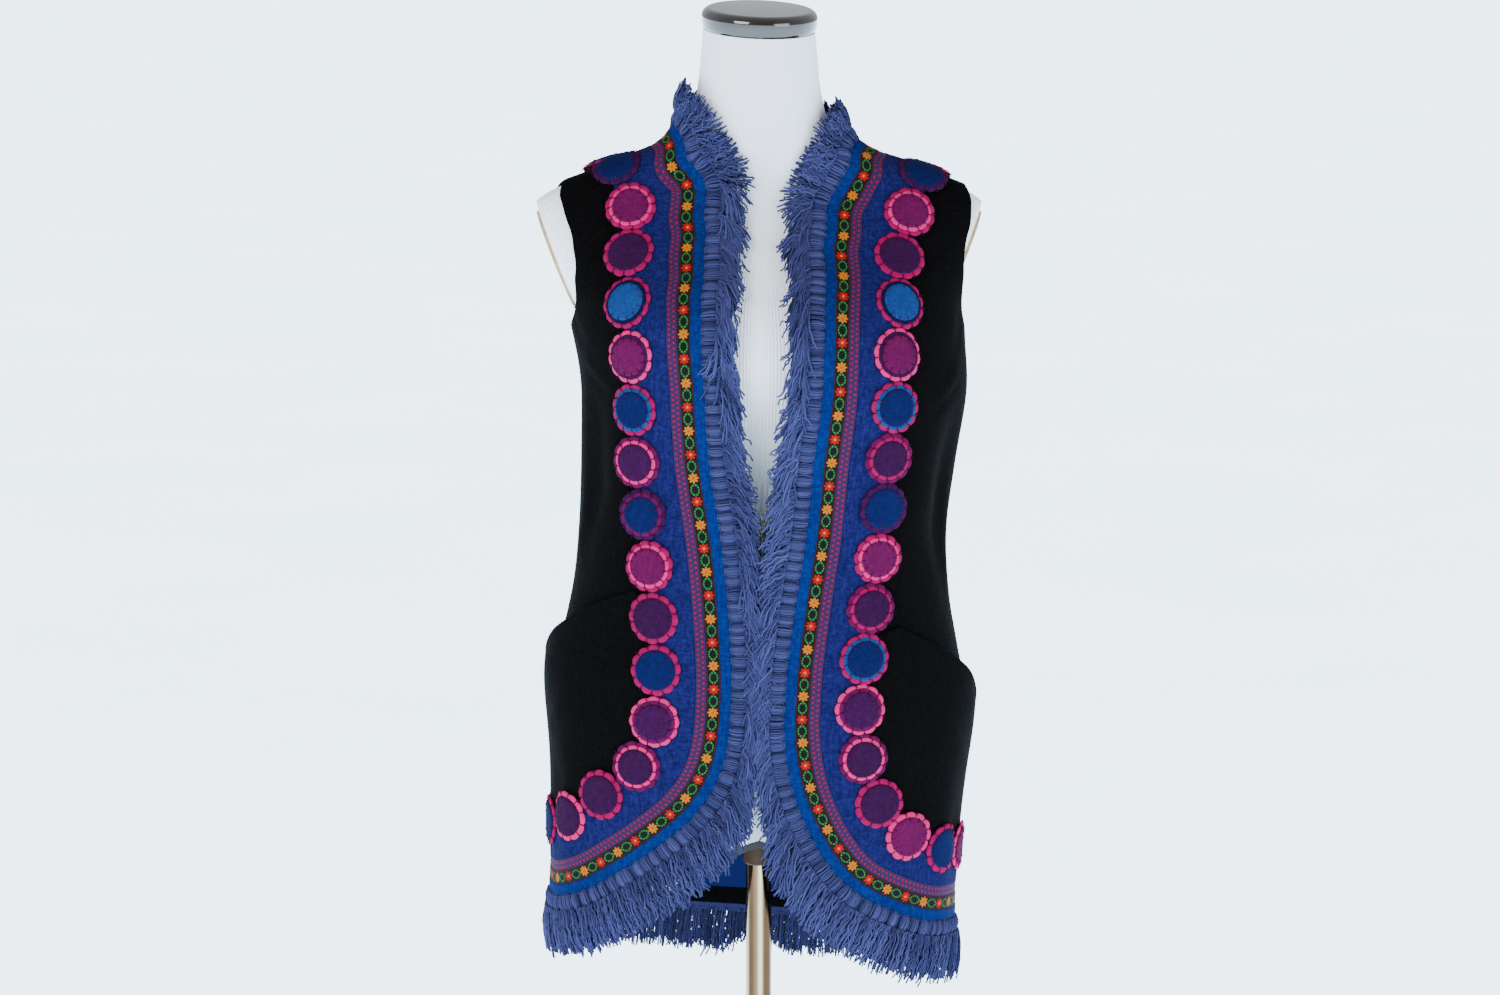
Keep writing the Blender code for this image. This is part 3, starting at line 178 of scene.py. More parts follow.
sky = bpy.data.worlds.new("studio")
sky.use_nodes = True
air = sky.node_tree.nodes["Background"]
toward = sky.node_tree.nodes.new("ShaderNodeTexCoord")
split = sky.node_tree.nodes.new("ShaderNodeSeparateXYZ")
room = sky.node_tree.nodes.new("ShaderNodeValToRGB")
room.color_ramp.elements[0].position = 0.0
room.color_ramp.elements[0].color = (0.16, 0.11, 0.075, 1.0)
room.color_ramp.elements[1].position = 0.62
room.color_ramp.elements[1].color = (0.86, 0.93, 1.0, 1.0)
shift = sky.node_tree.nodes.new("ShaderNodeMath")
shift.operation = "MULTIPLY_ADD"
shift.inputs[1].default_value = 0.5
shift.inputs[2].default_value = 0.5
join_sky = sky.node_tree.links.new
join_sky(toward.outputs["Generated"], split.inputs[0])
join_sky(split.outputs["Y"], shift.inputs[0])
join_sky(shift.outputs[0], room.inputs["Fac"])
join_sky(room.outputs["Color"], air.inputs["Color"])
air.inputs["Strength"].default_value = 0.9
bpy.context.scene.world = sky


def soft_panel(name, place, size, power, colour):
    """A large square light that faces the vest's middle."""
    light = bpy.data.lights.new(name, "AREA")
    light.size = size
    light.energy = power
    light.color = colour
    made = bpy.data.objects.new(name, light)
    made.location = place
    made.rotation_euler = (Vector((0.0, 0.0, 1.0)) - Vector(place)).to_track_quat("-Z", "Y").to_euler()
    bpy.context.scene.collection.objects.link(made)


soft_panel("window_panel", (-2.0, -2.8, 2.9), 1.8, 140.0, (1.0, 0.97, 0.93))
soft_panel("fill_panel", (2.6, -2.6, 1.9), 2.0, 80.0, (0.95, 0.97, 1.0))


# The torso of the dress form: padding under a white ribbed knit cover, drawn tight.
# Its arms end in flat cuts, and its lower edge arches over the pole with a black tape along it.
Ring = namedtuple("Ring", "height half_width front back centre slide sway nod square")
FORM_RINGS = [
    Ring(612, 132, 84, 92, 0, 0, 0, 0, 0.03),
    Ring(672, 148, 92, 100, 0, 0, 0, 0, 0.03),
    Ring(775, 168, 106, 114, 0, 0, 0, 0, 0.03),
    Ring(845, 166, 106, 109, 0, 0, 0, 0, 0.03),
    Ring(995, 122, 85, 79, 0, 0, 0, 0, 0.0),
    Ring(1125, 142, 106, 89, 0, 0, 0, 0, 0.0),
    Ring(1185, 156, 121, 96, 0, 0, 0, 0, 0.0),
    Ring(1230, 171, 116, 101, 2, 0, 0, 0, 0.0),
    Ring(1260, 190, 100, 103, 4, 0, 0, 0, 0.0),
    Ring(1287, 208, 82, 100, 7, 0, 0, 0, 0.0),
    Ring(1310, 219, 67, 92, 10, 0, 0, 0, 0.0),
    Ring(1328, 216, 57, 82, 12, 0, 0, 0, 0.0),
    Ring(1343, 198, 51, 73, 13, 0, 0, 0, 0.0),
    Ring(1355, 168, 48, 66, 13, 0, 0, 0, 0.0),
    Ring(1366, 135, 47, 61, 12, 0, 0, 0, 0.0),
    Ring(1378, 103, 47, 58, 11, 0, 0, 0, 0.0),
    Ring(1391, 79, 48, 56, 9, 0, 0, 0, 0.0),
    Ring(1410, 65, 49, 54, 7, 0, 0, 1, 0.0),
    Ring(1440, 58, 50, 53, 4, 0, 1, 3, 0.0),
    Ring(1468, 55, 50, 52, 2, 0, 1, 5, 0.0),
    Ring(1495, 52.5, 50, 51, 1, 0, 2, 7, 0.0),
]
ARM_CUT_TOP = (206.3, 1321.4)
ARM_CUT_LOW = (173.0, 1235.8)
ARCH_APEX = 738.0
ARCH_FOOT = 600.0
ARCH_HALF_WIDTH = 165.0
ARCH_SHAPE = 1.35
ARCH_EDGE = 7.0


def unit(vectors):
    return vectors / np.linalg.norm(vectors, axis=-1, keepdims=True)


def smooth_step(value):
    value = np.clip(value, 0, 1)
    return value * value * (3 - 2 * value)


class Loft:
    """A smooth surface through level rings, by turn (0 in front, 90 at +X) and level."""
    def __init__(self, rings, relief=None):
        self.rows = np.array(rings, float)
        self.rows[:, :8] *= MM
        self.relief = relief
        self.net = None
        self.top = len(rings) - 1
        self.fine = np.linspace(0, self.top, 40 * self.top + 1)
        row = self.row(self.fine)
        run = np.hypot(np.diff(row[:, 0]), np.diff(row[:, 1]))
        self.run = np.concatenate([[0], np.cumsum(run)])
        self.heights = np.maximum.accumulate(row[:, 0])

    def level(self, height):
        return np.interp(np.asarray(height) * MM, self.heights, self.fine)

    def row(self, level):
        level = np.clip(np.asarray(level, float), 0, self.top)
        i = np.clip(np.floor(level).astype(int), 0, self.top - 1)
        f = (level - i)[..., None]
        rows = self.rows
        here, above = rows[i], rows[i + 1]
        below = np.where((i > 0)[..., None], rows[np.maximum(i - 1, 0)], 2 * here - above)
        last = np.where((i < self.top - 1)[..., None], rows[np.minimum(i + 2, self.top)],
                        2 * above - here)
        slope, next_slope = (above - below) / 2, (last - here) / 2
        f2, f3 = f * f, f * f * f
        return ((2 * f3 - 3 * f2 + 1) * here + (f3 - 2 * f2 + f) * slope
                + (3 * f2 - 2 * f3) * above + (f3 - f2) * next_slope)

    def tabulate(self, turns=1440, rows=32):
        """Keep places and normals on a fine net, so that later calls are quick."""
        self.turns, self.rows_a_level = turns, rows
        grid = np.meshgrid(np.arange(turns + 1) / turns * 2 * math.pi - math.pi,
                           np.arange(self.top * rows + 1) / rows)
        self.net = np.concatenate([self.point(*grid), self.normal(*grid)], -1)

    def from_net(self, turn, level):
        turn, level = np.broadcast_arrays(np.asarray(turn, float), np.asarray(level, float))
        i = (turn + math.pi) / (2 * math.pi) * self.turns % self.turns
        j = np.clip(level * self.rows_a_level, 0, self.net.shape[0] - 1.0001)
        i0, j0 = np.minimum(i.astype(int), self.turns - 1), j.astype(int)
        fi, fj = (i - i0)[..., None], (j - j0)[..., None]
        return ((self.net[j0, i0] * (1 - fi) + self.net[j0, i0 + 1] * fi) * (1 - fj)
                + (self.net[j0 + 1, i0] * (1 - fi) + self.net[j0 + 1, i0 + 1] * fi) * fj)

    def point(self, turn, level):
        if self.net is not None:
            return self.from_net(turn, level)[..., :3]
        turn = np.asarray(turn, float)
        row = self.row(level)
        height, half_width, front, back, centre, slide, sway, nod, square = np.moveaxis(row, -1, 0)
        side, ahead = np.sin(turn), np.cos(turn)
        full = 1 + square * np.sin(2 * turn) ** 2
        depth = np.where(ahead > 0, front, back)
        swell = self.relief(turn, height) if self.relief else 0.0
        x = slide + (half_width * full + swell) * side
        y = centre - (depth * full + swell) * ahead
        z = height - sway * side - nod * ahead
        return np.stack([x, y, z], -1)

    def normal(self, turn, level, small=1e-3):
        if self.net is not None:
            return unit(self.from_net(turn, level)[..., 3:])
        level = np.clip(level, 20 * small, self.top - 20 * small)
        along = self.point(turn + small, level) - self.point(turn - small, level)
        up = self.point(turn, level + 20 * small) - self.point(turn, level - 20 * small)
        return unit(np.cross(along, up))

    def nearest(self, target, turn, level, rounds=6, small=1e-4):
        """Turn and level of the surface point nearest to each target."""
        for _ in range(rounds):
            miss = self.point(turn, level) - target
            du = (self.point(turn + small, level) - target - miss) / small
            dv = (self.point(turn, level + small) - target - miss) / small
            turn, level = least_step(miss, du, dv, turn, level, self.top)
        return turn, level

    def seen_from_front(self, spots, start):
        """Turn and level of the front points that show at these places from the front."""
        wanted = np.array(spots) * MM
        turn = np.full(len(wanted), start)
        level = self.level(wanted[:, 1] / MM)
        small = 1e-4
        for _ in range(60):
            miss = self.point(turn, level)[:, [0, 2]] - wanted
            du = (self.point(turn + small, level)[:, [0, 2]] - wanted - miss) / small
            dv = (self.point(turn, level + small)[:, [0, 2]] - wanted - miss) / small
            turn, level = least_step(miss, du, dv, turn, level, self.top)
        return turn, level

    def flat(self, turn, level):
        """Flat working coordinates in millimetres for a panel's outline."""
        return np.stack([turn * 150.0, np.interp(level, self.fine, self.run) / MM], -1)

    def unflat(self, places):
        return places[:, 0] / 150.0, np.interp(places[:, 1] * MM, self.run, self.fine)


def least_step(miss, du, dv, turn, level, top):
    """One least-squares step towards the point where the miss is smallest."""
    a = np.sum(du * du, -1)
    b = np.sum(du * dv, -1)
    d = np.sum(dv * dv, -1)
    e = -np.sum(du * miss, -1)
    f = -np.sum(dv * miss, -1)
    det = a * d - b * b + 1e-18
    turn = turn + np.clip((d * e - b * f) / det, -0.3, 0.3)
    level = np.clip(level + np.clip((a * f - b * e) / det, -1, 1), 0, top)
    return turn, level


def mesh_from(name, points, faces):
    """A smooth-shaded mesh of points in metres, with its faces turned outward."""
    built = bmesh.new()
    corners = [built.verts.new(point) for point in points]
    for face in faces:
        built.faces.new([corners[i] for i in face])
    bmesh.ops.recalc_face_normals(built, faces=built.faces)
    if built.calc_volume(signed=True) < 0:
        bmesh.ops.reverse_faces(built, faces=built.faces)
    mesh = bpy.data.meshes.new(name)
    built.to_mesh(mesh)
    built.free()
    mesh.shade_smooth()
    mesh.set_sharp_from_angle(angle=math.radians(45))
    return mesh


def loft_solid(loft, lift, around, levels):
    """A closed loft through level rings, moved out by lift millimetres."""
    turns = np.linspace(-math.pi, math.pi, around, endpoint=False)
    grid_turn, grid_level = np.meshgrid(turns, levels)
    places = loft.point(grid_turn, grid_level)
    if lift:
        places = places + loft.normal(grid_turn, grid_level) * lift * MM
    points = places.reshape(-1, 3)
    faces = []
    for row in range(len(levels) - 1):
        for i in range(around):
            j = (i + 1) % around
            a, b = row * around + i, row * around + j
            faces.append((a, b, b + around, a + around))
    faces.append(tuple(range(around))[::-1])
    faces.append(tuple(range(len(points) - around, len(points))))
    return mesh_from("loft", points, faces)


def arm_block(side):
    """A block whose inner face is the flat cut at one arm."""
    across = np.array([ARM_CUT_TOP[0], ARM_CUT_LOW[0]]) * MM
    height = np.array([ARM_CUT_TOP[1], ARM_CUT_LOW[1]]) * MM
    lean = math.atan2(across[0] - across[1], height[0] - height[1])
    size = 0.4
    built = bmesh.new()
    bmesh.ops.create_cube(built, size=size)
    mesh = bpy.data.meshes.new("arm_block")
    built.to_mesh(mesh)
    built.free()
    made = link("arm_block", mesh)
    made.rotation_euler = (0, side * lean, 0)
    out = np.array([math.cos(lean), 0, -math.sin(lean)])
    middle = np.array([across.mean(), 0, height.mean()]) + out * size / 2
    made.location = (side * middle[0], 0, middle[2])
    return made


def arch_prism(inset, reach):
    """A tunnel-shaped prism through the torso from front to back."""
    width = (ARCH_HALF_WIDTH - inset * 1.3) * MM
    rise = (ARCH_APEX - ARCH_FOOT - inset) * MM
    foot = ARCH_FOOT * MM
    across = np.sin(np.linspace(math.pi / 2, -math.pi / 2, 65))
    outline = [(width * part, foot + rise * (1 - abs(part) ** ARCH_SHAPE)) for part in across]
    outline = [(width, foot - 0.05)] + outline + [(-width, foot - 0.05)]
    points = [(x, y, z) for y in (-reach, reach) for x, z in outline]
    n = len(outline)
    faces = [tuple(range(n)), tuple(range(n, 2 * n))[::-1]]
    faces += [(i, (i + 1) % n, n + (i + 1) % n, n + i) for i in range(n)]
    return link("arch_prism", mesh_from("arch_prism", points, faces))


def cut_piece(name, mesh, cuts, look):
    """The mesh after each (tool, operation) cut, as a finished piece."""
    rough = link(name + "_rough", mesh)
    for tool, operation in cuts:
        change = rough.modifiers.new("cut", "BOOLEAN")
        change.operation = operation
        change.object = tool
        change.solver = "EXACT"
    bpy.context.view_layer.update()
    shaped = bpy.data.meshes.new_from_object(rough.evaluated_get(bpy.context.evaluated_depsgraph_get()))
    for used in (rough, *(tool for tool, operation in cuts)):
        bpy.data.objects.remove(used)
    shaped.materials.clear()
    shaped.shade_smooth()
    shaped.set_sharp_from_angle(angle=math.radians(40))
    return link(name, shaped, [look])


def finish_piece(made, slot, *nodes):
    """Ride on the only body and stand for the nodes. The slot is not used."""
    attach(made, "root")
    if nodes:
        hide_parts(*nodes)
    return made


FORM = Loft(FORM_RINGS)
jersey = Look("ribbed_jersey", (0.82, 0.85, 0.90), 0.88, Sheen_Weight=0.25)
side, depth = jersey.sides(jersey.place())
around = side.math("ARCTAN2", depth)
fine_rib = (around * 230.0).math("SINE") * 0.5 + 0.5
fuzz = jersey.noise(900.0, detail=2.0)
jersey.bump(fine_rib, 0.00035)
jersey.bump(fuzz, 0.00025)
worn = jersey.noise(7.0, detail=3.0)
knit_colour = jersey.mix(fine_rib * 0.55 + fuzz * 0.3, (0.76, 0.82, 0.92), (0.93, 0.95, 0.97))
jersey.set("Base Color", jersey.mix(worn * 0.25, knit_colour, (0.80, 0.85, 0.93)))
levels = np.linspace(0, FORM.top, 8 * FORM.top + 1)
torso = cut_piece("torso_cover", loft_solid(FORM, 0.0, 144, levels),
                  [(arm_block(-1), "DIFFERENCE"), (arm_block(1), "DIFFERENCE"),
                   (arch_prism(0.0, 0.3), "DIFFERENCE")], jersey)
finish_piece(torso, "jersey", "torso")

tape = Look("black_tape", (0.012, 0.012, 0.014), 0.75, Sheen_Weight=0.2)
tape.bump(tape.noise(1400.0, stretch=(1.0, 1.0, 0.3)), 0.0003)
tape.set("Base Color", tape.mix(tape.noise(60.0), (0.008, 0.008, 0.010), (0.028, 0.028, 0.032)))
arch_tape = cut_piece("arch_tape", loft_solid(FORM, 0.5, 144, levels[:41]),
                      [(arch_prism(0.35, 0.3), "INTERSECT"), (arch_prism(ARCH_EDGE, 0.35), "DIFFERENCE")],
                      tape)
finish_piece(arch_tape, "black_tape", "arch_edge")


# The two arm plates: thin varnished boards that close the arms' flat cuts.
# They are flat ovals, so the solids' own shapes stay and only their finish is made here.
plate_look = Look("varnished_board", (0.40, 0.25, 0.13), 0.42, Coat_Weight=0.3, Coat_Roughness=0.25)
grain = plate_look.noise(28.0, stretch=(1.0, 1.0, 9.0), detail=5.0, rough=0.6)
plate_look.set("Base Color", plate_look.mix(grain, (0.24, 0.13, 0.06), (0.55, 0.37, 0.20)))
plate_look.bump(grain, 0.0002)
for node in ("right_arm_plate", "left_arm_plate"):
    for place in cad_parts[node].material_slots:
        place.material = plate_look.material


# The neck cap, the pole with its fitting, the collar and the round base.
# The cap is turned hardwood under black gloss lacquer; the rest is plated and painted steel. The
# plating's colour has painted reflections: dark streaks round the axis stand for the dark walls that
# this bare studio lacks.
POLE_RADIUS = 12.7
BASE_RADIUS = 172.0
BASE_THICK = 12.0


def corner(centre, radius, start, end, count=9):
    """Points of a rounded corner in a profile."""
    angles = np.radians(np.linspace(start, end, count))
    return [(centre[0] + radius * math.cos(a), centre[1] + radius * math.sin(a)) for a in angles]


def turned_piece(name, profile, look, steps=112):
    """A closed solid turned round +Z from a profile that starts and ends on the axis or closes."""
    built = bmesh.new()
    corners = [built.verts.new((radius * MM, 0.0, height * MM)) for radius, height in profile]
    edges = [built.edges.new(pair) for pair in zip(corners, corners[1:])]
    if profile[0][0] > 0:
        edges.append(built.edges.new((corners[-1], corners[0])))
    bmesh.ops.spin(built, geom=corners + edges, axis=(0, 0, 1), cent=(0, 0, 0), steps=steps,
                   angle=2 * math.pi, use_duplicate=False)
    bmesh.ops.remove_doubles(built, verts=built.verts, dist=0.00002)
    bmesh.ops.recalc_face_normals(built, faces=built.faces)
    mesh = bpy.data.meshes.new(name)
    built.to_mesh(mesh)
    built.free()
    mesh.shade_smooth()
    mesh.set_sharp_from_angle(angle=math.radians(40))
    return link(name, mesh, [look])


lacquer = Look("black_lacquer", (0.010, 0.009, 0.009), 0.10, Coat_Weight=0.6, Coat_Roughness=0.06)
lacquer.set("Roughness", lacquer.noise(45.0, detail=4.0) * 0.14 + 0.05)
lacquer.set("Base Color", lacquer.mix(lacquer.noise(9.0), (0.006, 0.005, 0.005), (0.022, 0.016, 0.014)))
lacquer.bump(lacquer.noise(160.0, detail=2.0), 0.00005)
CAP_RADIUS, CAP_TALL, CAP_ROUND = 54.5, 19.5, 8.0
profile = [(0, CAP_TALL)] + corner((CAP_RADIUS - CAP_ROUND, CAP_TALL - CAP_ROUND), CAP_ROUND, 90, 0, 14)
profile += [(CAP_RADIUS, 4.0), (CAP_RADIUS - 2.5, 0), (0, 0)]
cap = turned_piece("lacquered_cap", profile, lacquer)
top = FORM.rows[-1]
cap.rotation_euler = (math.atan2(top[7], (top[2] + top[3]) / 2), math.atan2(top[6], top[1]), 0)
cap.location = (0, top[4], top[0] + 0.6 * MM)
bpy.context.view_layer.update()
cap.data.transform(cap.matrix_world)
cap.matrix_world.identity()
cap.rotation_euler = (0, 0, 0)
cap.location = (0, 0, 0)
finish_piece(cap, "black_gloss", "neck_cap")

plate = Look("plated_steel", (0.42, 0.34, 0.25), 0.10, Metallic=1.0)
plate.set("Roughness", plate.noise(30.0, detail=5.0) * 0.10 + 0.04)
# Painted reflections: dark streaks set by the angle round the upright axis, drawn into the colour of the
# base, collar and pole.
side, depth = plate.sides(plate.place())
around = side.math("ARCTAN2", depth * -1.0)
reflection_streaks = (around * 5.0 + 1.2).math("SINE") * 0.42 + (around * 11.0).math("SINE") * 0.14 + 0.44
reflection_streaks = reflection_streaks.math("MAXIMUM", 0.0).math("POWER", 2.2)
plating_with_painted_reflections = plate.mix(reflection_streaks, (0.030, 0.015, 0.006), (0.60, 0.48, 0.32))
plate.set("Base Color", plate.mix(plate.noise(12.0, detail=3.0) * 0.4, plating_with_painted_reflections, (0.22, 0.13, 0.07)))
plate.bump(plate.noise(240.0, stretch=(1.0, 1.0, 0.08)), 0.00003)
lip = 4.0
profile = [(0, BASE_THICK)] + corner((BASE_RADIUS - lip, BASE_THICK - lip), lip, 90, 0)
profile += [(BASE_RADIUS, 0), (0, 0)]
finish_piece(turned_piece("round_base", profile, plate, 160), "steel", "base")
collar_low = BASE_THICK + 0.3
collar_top = collar_low + 34
bore = POLE_RADIUS + 0.3
profile = [(bore, collar_top)] + corner((21, collar_top - 3), 3, 90, 0)
profile += [(24, collar_low + 8), (32, collar_low), (bore, collar_low)]
finish_piece(turned_piece("foot_collar", profile, plate), "steel", "base_collar")
pole_top = ARCH_APEX - 38
profile = [(0, pole_top), (POLE_RADIUS, pole_top), (POLE_RADIUS, collar_low), (0, collar_low)]
finish_piece(turned_piece("plated_pole", profile, plate), "steel", "pole")

fitting = Look("brown_fitting", (0.12, 0.06, 0.035), 0.40, Specular_IOR_Level=0.15)
rust = fitting.noise(70.0, detail=4.0)
fitting.set("Base Color", fitting.mix(rust, (0.022, 0.010, 0.005), (0.07, 0.036, 0.018)))
fitting.set("Roughness", fitting.noise(90.0) * 0.25 + 0.3)
fitting.bump(fitting.noise(500.0), 0.0001)
socket_top = ARCH_APEX - ARCH_EDGE - 6.6
socket_low = pole_top - 12
outer = POLE_RADIUS + 2.4
profile = [(0, socket_top), (outer - 1, socket_top), (outer, socket_top - 1), (outer, socket_low + 1),
           (outer - 1, socket_low), (bore, socket_low), (bore, pole_top + 0.3), (0, pole_top + 0.3)]
finish_piece(turned_piece("pole_fitting", profile, fitting), "brown_fitting", "pole_socket")


# The vest's body: two fronts and a back of black wool felt, cut raw and sewn at shoulders and sides.
# It lies on the form's shoulders and hangs clear below, with a dart from each armhole, soft
# lengthwise folds and a crease under each pocket.
FELT = 2.2
LAYER_LIFT = 0.8
SEAM_GAP = 0.5
SHOULDER_LIFT = 2.8
FELT_GRID = 5.5
FIRST_LYING_RING = 1270
LAST_LYING_RING = 1370
HANGING_RINGS = [
    Ring(540, 194, 127, 121, 0, -7, 14, 0, 0.04),
    Ring(620, 195, 125, 120, 0, -7, 14, 0, 0.04),
    Ring(700, 195, 125, 120, 0, -5, 14, 0, 0.04),
    Ring(780, 197, 126, 121, 0, -2, 15, 0, 0.04),
    Ring(850, 198, 127, 121, 0, 0, 17, 0, 0.04),
    Ring(888, 195, 127, 120, 0, 2, 17, 0, 0.04),
    Ring(925, 187, 126, 118, 0, 3, 14, 0, 0.04),
    Ring(970, 179, 125, 112, 0, 3, 11, 0, 0.04),
    Ring(1030, 175, 125, 106, 0, 4, 9, 0, 0.04),
    Ring(1095, 178, 128, 105, 0, 9, 7, 0, 0.03),
    Ring(1160, 183, 133, 108, 0, 14, 5, 0, 0.02),
    Ring(1210, 186, 132, 110, 1, 9, 3, 0, 0.01),
    Ring(1243, 190, 122, 111, 3, 5, 1, 0, 0.0),
]
NECK_EDGE_RINGS = [
    Ring(1381, 106, 51, 62, 11, 0, 0, 0, 0.0),
    Ring(1394, 87, 52, 61, 9, 0, 0, 0, 0.0),
    Ring(1414, 75, 54, 60, 7, 0, 0, 1, 0.0),
    Ring(1444, 68, 55, 59, 4, 0, 1, 3, 0.0),
    Ring(1472, 65, 55, 58, 2, 0, 1, 5, 0.0),
    Ring(1498, 63, 55, 58, 1, 0, 2, 7, 0.0),
]
Fold = namedtuple("Fold", "turn spread low high swell")
FOLDS = [
    Fold(68, 8, 990, 1180, -5.0), Fold(50, 8, 1000, 1160, 3.0),
    Fold(-64, 8, 1000, 1190, -5.0), Fold(-48, 8, 1010, 1160, 2.5),
    Fold(58, 11, 600, 900, 3.5), Fold(-60, 11, 600, 900, 3.5),
    Fold(-118, 12, 580, 980, 4.5), Fold(-150, 12, 580, 960, -4.0),
    Fold(180, 13, 580, 1000, 4.0), Fold(147, 12, 580, 960, -4.0),
    Fold(119, 12, 580, 980, 4.5), Fold(157, 9, 970, 1190, -3.5),
    Fold(-160, 9, 970, 1190, -3.5),
]
# Creases run from one turn and height to another; the depth is negative for a trough
Crease = namedtuple("Crease", "turn height end_turn end_height width depth")
CREASES = [
    Crease(74, 1178, 47, 1146, 5, -1.8), Crease(74, 1186, 50, 1160, 9, 1.5),
    Crease(-74, 1178, -47, 1150, 5, -1.5), Crease(-74, 1188, -50, 1162, 9, 1.3),
    Crease(62, 1130, 71, 960, 12, -1.8), Crease(73, 1110, 79, 950, 10, 1.6),
    Crease(-58, 1120, -68, 955, 12, -1.6), Crease(-71, 1090, -78, 965, 10, 1.5),
    Crease(80, 1240, 66, 1196, 9, -1.2), Crease(-80, 1240, -66, 1196, 9, -1.2),
    Crease(46, 905, 80, 862, 7, -1.4), Crease(-46, 925, -80, 872, 7, -1.4),
    Crease(60, 842, 84, 800, 10, 1.6), Crease(-58, 850, -84, 808, 10, 1.6),
    Crease(66, 780, 72, 690, 13, -1.6), Crease(-64, 800, -72, 700, 13, -1.6),
    Crease(30, 1010, 46, 960, 10, -1.0), Crease(-34, 1040, -48, 980, 10, -1.0),
    Crease(100, 1190, 128, 1130, 8, -1.6), Crease(-100, 1190, -128, 1136, 8, -1.6),
    Crease(112, 1070, 150, 1030, 14, -1.8), Crease(-110, 1060, -150, 1022, 14, -1.8),
    Crease(135, 1260, 150, 1170, 14, 1.6), Crease(-138, 1260, -152, 1176, 14, 1.6),
    Crease(165, 1000, 170, 860, 15, 1.8), Crease(-168, 1010, -172, 850, 15, -1.6),
    Crease(105, 960, 118, 800, 15, -1.8), Crease(-104, 950, -116, 810, 15, -1.8),
    Crease(135, 850, 128, 700, 16, 2.0), Crease(-136, 850, -130, 700, 16, 2.0),
    Crease(176, 1230, 182, 1120, 16, -1.2),
]


def hanging_relief(turn, height):
    """How far folds and creases move the felt out, in metres."""
    moved = 0.0
    for fold in FOLDS:
        apart = np.angle(np.exp(1j * (turn - math.radians(fold.turn))))
        across = np.exp(-(apart / math.radians(fold.spread)) ** 2)
        rise = smooth_step((height - fold.low * MM) / 0.070)
        fall = smooth_step((fold.high * MM - height) / 0.070)
        moved = moved + fold.swell * MM * across * rise * fall
    for crease in CREASES:
        reach = np.array([math.radians(crease.end_turn - crease.turn) * 150,
                          crease.end_height - crease.height])
        apart = np.angle(np.exp(1j * (turn - math.radians(crease.turn)))) * 150
        above = height / MM - crease.height
        long = np.hypot(*reach)
        along = (apart * reach[0] + above * reach[1]) / long
        off = (apart * reach[1] - above * reach[0]) / long
        off = off + 2.5 * np.sin(along / 17.0 + crease.turn)
        ends = smooth_step(along / (0.35 * long)) * smooth_step((long - along) / (0.35 * long))
        moved = moved + crease.depth * MM * np.exp(-(off / crease.width) ** 2) * ends
    return moved


def lying_ring(ring):
    """A form ring grown by the lift of the felt that lies on it."""
    lift = SHOULDER_LIFT
    return ring._replace(height=ring.height + lift, half_width=ring.half_width + lift,
                         front=ring.front + lift, back=ring.back + lift)


LYING_RINGS = [lying_ring(ring) for ring in FORM_RINGS
               if FIRST_LYING_RING < ring.height < LAST_LYING_RING]
VEST = Loft(HANGING_RINGS + LYING_RINGS + NECK_EDGE_RINGS, hanging_relief)
VEST.tabulate()

# The jacquard ribbon's middle line, and the armholes from under the arm to the shoulder's tip
Spot = namedtuple("Spot", "across height")
RIGHT_FRONT_RIBBON = [
    Spot(-84, 1390), Spot(-73.5, 1360), Spot(-67, 1316), Spot(-67, 1282),
    Spot(-69, 1245), Spot(-68.5, 1210), Spot(-65, 1155), Spot(-62, 1108), Spot(-50, 1018),
    Spot(-43.5, 940), Spot(-42.2, 885), Spot(-46, 838), Spot(-55, 808), Spot(-73, 780),
    Spot(-107, 748), Spot(-140, 722), Spot(-172, 699), Spot(-190, 688),
]
LEFT_FRONT_RIBBON = [
    Spot(99, 1373), Spot(96, 1358), Spot(85, 1339), Spot(77, 1302), Spot(77, 1262),
    Spot(75, 1215), Spot(72, 1154), Spot(66, 1105), Spot(58, 1024), Spot(50, 970),
    Spot(42, 905), Spot(39.5, 860), Spot(43.5, 815), Spot(55, 775), Spot(75, 735),
    Spot(97, 708), Spot(128, 687), Spot(160, 671), Spot(184, 660),
]
Turned = namedtuple("Turned", "turn height")
SHOULDER_POINT = {"right": Turned(-90, 1393), "left": Turned(90, 1383)}
SIDE_POINT = {"right": Turned(-90, 667), "left": Turned(90, 667)}
BACK_HEM_RIBBON = [Turned(-115, 656), Turned(-145, 640), Turned(-180, 633), Turned(-215, 639),
                   Turned(-245, 655)]
BACK_NECK_RIBBON = [Turned(110, 1377), Turned(140, 1373), Turned(180, 1371), Turned(220, 1375),
                    Turned(250, 1384)]
FRONT_ARMHOLE = {
    "right": [Turned(0, 1214), Turned(11, 1221), Turned(20, 1238), Turned(28, 1262),
              Turned(35, 1290), Turned(37, 1310), Turned(34, 1327), Turned(26, 1341),
              Turned(13, 1351), Turned(0, 1355)],
    "left": [Turned(0, 1214), Turned(6, 1223), Turned(12, 1240), Turned(18, 1264),
             Turned(24, 1290), Turned(27, 1310), Turned(26, 1325), Turned(21, 1337),
             Turned(12, 1346), Turned(0, 1350)],
}
